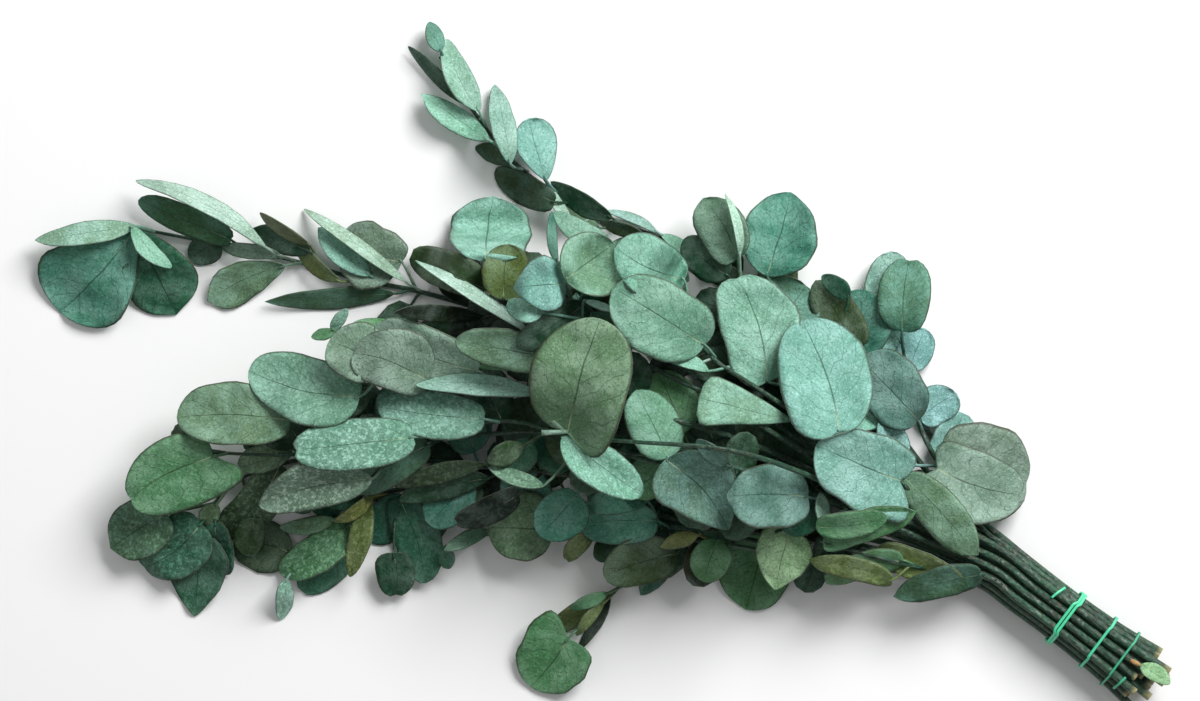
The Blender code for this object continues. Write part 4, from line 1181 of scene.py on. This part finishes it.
def plain_leaf(root, way, steps, z, reach, roll, fold, tone, form, length, width):
    """A leaf straight in plan, with its first two rows as its stalk."""
    bare = reach * np.array((0, 0, 1, 1, 1, 1))
    centres = np.column_stack([root[0] + way[0] * steps, root[1] + way[1] * steps, z])
    return {"centres": centres, "reach": reach, "side": np.array((way[1], -way[0])), "tilt": roll * bare,
            "fold": fold * bare, "tone": tone, "form": form, "length": length, "width": width}


def stray_leaf():
    """A small pale olive leaf caught on top of the cut ends, with a tan stub of its twig."""
    steps = np.array((0.0, 4.0, 7.0, 13.0, 18.0, 22.0))
    reach = np.array((0.8, 0.8, 3.4, 4.6, 3.2, 0.0))
    leaf = plain_leaf((264.0, -148.5), (0.84, -0.54), steps, STRAY_HEIGHT - 0.11 * steps, reach, 0.15, 0.1,
                      "lime", "e", 18.0, 9.2)
    leaf["stub"] = ((262.6, -148.4, 24.2), (264.8, -149.5, 24.9), (267.4, -150.8, 24.6))
    return leaf


def stem_tones(count, rng):
    """Bark colour along a stem: dark green with paler green runs."""
    share = rng.uniform(0.0, 0.8)
    runs = [share * (0.5 + 0.5 * math.sin(0.5 * k + share * 9)) for k in range(count)]
    return [[a + (b - a) * run for a, b in zip(BARK_DARK, BARK_PALE)] for run in runs]


def dress_stem(name, knots, radii, leaves, materials, number):
    """The fine mesh of one leafy stem."""
    rng = random.Random(SEED * 7 + number)
    bm = bmesh.new()
    marks = layers(bm)
    line = smooth_line(np.column_stack([knots, radii]), 5)
    tones = stem_tones(len(line), rng)
    tones[0] = CUT_WOOD
    add_tube(bm, marks, line[:, :3], line[:, 3], STEM_SIDES, tones)
    for leaf in leaves:
        add_blade(bm, marks, leaf, rng)
        if "stub" in leaf:
            add_tube(bm, marks, np.array(leaf["stub"]), (1.0, 1.3, 0.7), STALK_SIDES, [TAN_STUB] * 3)
        if (name, leaf.get("place")) in STUBS:
            base = leaf["centres"][1]
            far = np.array((*STUBS[name, leaf["place"]], base[2] + 1.2))
            add_tube(bm, marks, np.array((base, (base + far) / 2 + (0, 0, 0.4), far)), (1.1, 1.2, 1.5),
                     STALK_SIDES, [PALE_STUB] * 3)
    piece = finish_piece("leafy_" + name, bm, materials)
    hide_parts(name)


def new_object(name, data):
    """An object at the origin, linked to the scene."""
    made = bpy.data.objects.new(name, data)
    bpy.context.scene.collection.objects.link(made)
    return made


def new_mesh(name, bm, materials):
    """An object with the mesh of bm, which is freed."""
    mesh = bpy.data.meshes.new(name)
    bm.to_mesh(mesh)
    bm.free()
    for material in materials:
        mesh.materials.append(material)
    return new_object(name, mesh)


def finish_piece(name, bm, materials):
    """A piece of the bunch, kept above the floor and rid of faces without area."""
    for vert in bm.verts:
        vert.co.z = max(vert.co.z, 0.0)
    bmesh.ops.dissolve_degenerate(bm, edges=bm.edges, dist=1e-6)
    piece = new_mesh(name, bm, materials)
    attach(piece, "root")
    return piece


def band_line(toward_cut, lift, sway):
    """Middle line of a stretched rubber loop round the bundle, closed."""
    centres = []
    for row, count in enumerate(ROW_COUNTS):
        for place in range(count):
            across, up = slot(row, place)
            x, y, _ = bundle_point(-toward_cut, across, up)
            centres.append(((x - TIE_CENTRE[0] + TO_TIPS[0] * toward_cut) * ACROSS[0]
                            + (y - TIE_CENTRE[1] + TO_TIPS[1] * toward_cut) * ACROSS[1], up))

    def spread(turn):
        return max(a * math.cos(turn) + b * math.sin(turn) for a, b in centres)

    points = []
    for k in range(BAND_CORNERS):
        turn = math.tau * k / BAND_CORNERS
        grow = (spread(turn + 0.05) - spread(turn - 0.05)) / 0.1
        body = spread(turn) + BUTT_RADIUS + lift
        a = body * math.cos(turn) - grow * math.sin(turn)
        b = body * math.sin(turn) + grow * math.cos(turn)
        along = -toward_cut - sway * math.cos(turn) ** 2 * (1 if math.sin(turn) > 0 else 0.4)
        points.append((TIE_CENTRE[0] + TO_TIPS[0] * along + ACROSS[0] * a,
                       TIE_CENTRE[1] + TO_TIPS[1] * along + ACROSS[1] * a, BUNDLE_HEIGHT + b))
    return np.array(points)


def add_band(bm, points, width, thick, closed=True):
    """A rubber strip with rounded edges swept along points, in millimetres."""
    count = len(points)
    bundle_axis = Vector((TO_TIPS[0], TO_TIPS[1], 0))
    rows = count if closed else count - 1
    made = sheet(bm, BAND_SIDES, rows)
    for vert in made:
        k = round((vert.co.y + 1) / 2 * rows) % count
        turn = math.pi * (vert.co.x + 1)
        if closed:
            ahead = Vector(points[(k + 1) % count] - points[k - 1]).normalized()
        else:
            ahead = Vector(points[min(k + 1, count - 1)] - points[max(k - 1, 0)]).normalized()
        wide = (bundle_axis - ahead * bundle_axis.dot(ahead)).normalized()
        out = wide.cross(ahead)
        a = math.copysign(abs(math.cos(turn)) ** 0.6, math.cos(turn)) * width / 2
        b = math.copysign(abs(math.sin(turn)) ** 0.8, math.sin(turn)) * thick / 2
        vert.co = (Vector(points[k]) + wide * a + out * b) * MM
    faces = weld(bm, made, TUBE_WELD)
    if not closed:
        faces = close_ends(bm, faces)
    smooth_faces(faces)
    bmesh.ops.recalc_face_normals(bm, faces=faces)


def dress_ties(mottle):
    """The rubber ties: each a piece of one or two loops and a loose strand."""
    for name, tone, loops, strands in TIES:
        bm = bmesh.new()
        for toward_cut, width, thick, sway in loops:
            add_band(bm, band_line(toward_cut, TIE_SLACK + thick / 2, sway), width, thick)
        for strand in strands:
            add_band(bm, smooth_line(strand, 6), *STRAND_SECTION, closed=False)
        piece = finish_piece("band_" + name, bm, [rubber_material("rubber " + name, tone, mottle)])
        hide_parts(name)


def add_stage():
    """Pale floor, soft light from the upper right and the camera straight above."""
    bm = bmesh.new()
    bmesh.ops.create_grid(bm, x_segments=1, y_segments=1, size=3.0)
    material, _, shader = new_material("pale floor", 0.9)
    shader.inputs["Base Color"].default_value = (0.9, 0.9, 0.9, 1)
    floor = new_mesh("floor", bm, [material])
    floor.location.z = FLOOR_HEIGHT * MM

    world = bpy.data.worlds.new("studio")
    world.use_nodes = True
    background = world.node_tree.nodes["Background"]
    background.inputs["Color"].default_value = (1, 1, 1, 1)
    background.inputs["Strength"].default_value = WORLD_STRENGTH
    bpy.context.scene.world = world

    bpy.context.scene.view_settings.view_transform = "Standard"
    for name, place, size, power in LIGHTS:
        light = bpy.data.lights.new(name, "AREA")
        light.size = size
        light.energy = power
        lamp = new_object(name, light)
        lamp.location = place
        lamp.rotation_euler = (-Vector(place)).to_track_quat("-Z", "Y").to_euler()

    camera = bpy.data.cameras.new("camera")
    camera.lens = CAMERA_LENS
    camera.sensor_width = CAMERA_SENSOR
    camera.clip_end = 20
    viewer = new_object("camera", camera)
    distance = FRAME_WIDTH * CAMERA_LENS / CAMERA_SENSOR
    viewer.location = (CAMERA_AIM[0] * MM, CAMERA_AIM[1] * MM, (CAMERA_AIM[2] + distance) * MM)
    bpy.context.scene.camera = viewer


def main():
    """Dress every stem and tie, and set the stage."""
    mottle = mottle_group()
    looks = (blade_material(vein_group(), mottle), bark_material(mottle))
    bunch = lay_bunch()
    for (name, knots, _, laid), stem in zip(bunch, STEMS):
        for place, leaf in enumerate(laid[len(laid) - len(stem[4]):]):
            leaf.update(stem=name, place=place)
        knots[-2:, 2] -= SUNK_ENDS.get(name, (0.0, 0.0))
    for number, leaf in inner_leaves(bunch):
        bunch[number][3].append(leaf)
    bunch[-1][3].append(stray_leaf())
    for number, (name, knots, radii, leaves) in enumerate(bunch):
        dress_stem(name, knots, radii, leaves, looks, number)
    dress_ties(mottle)
    add_stage()


main()
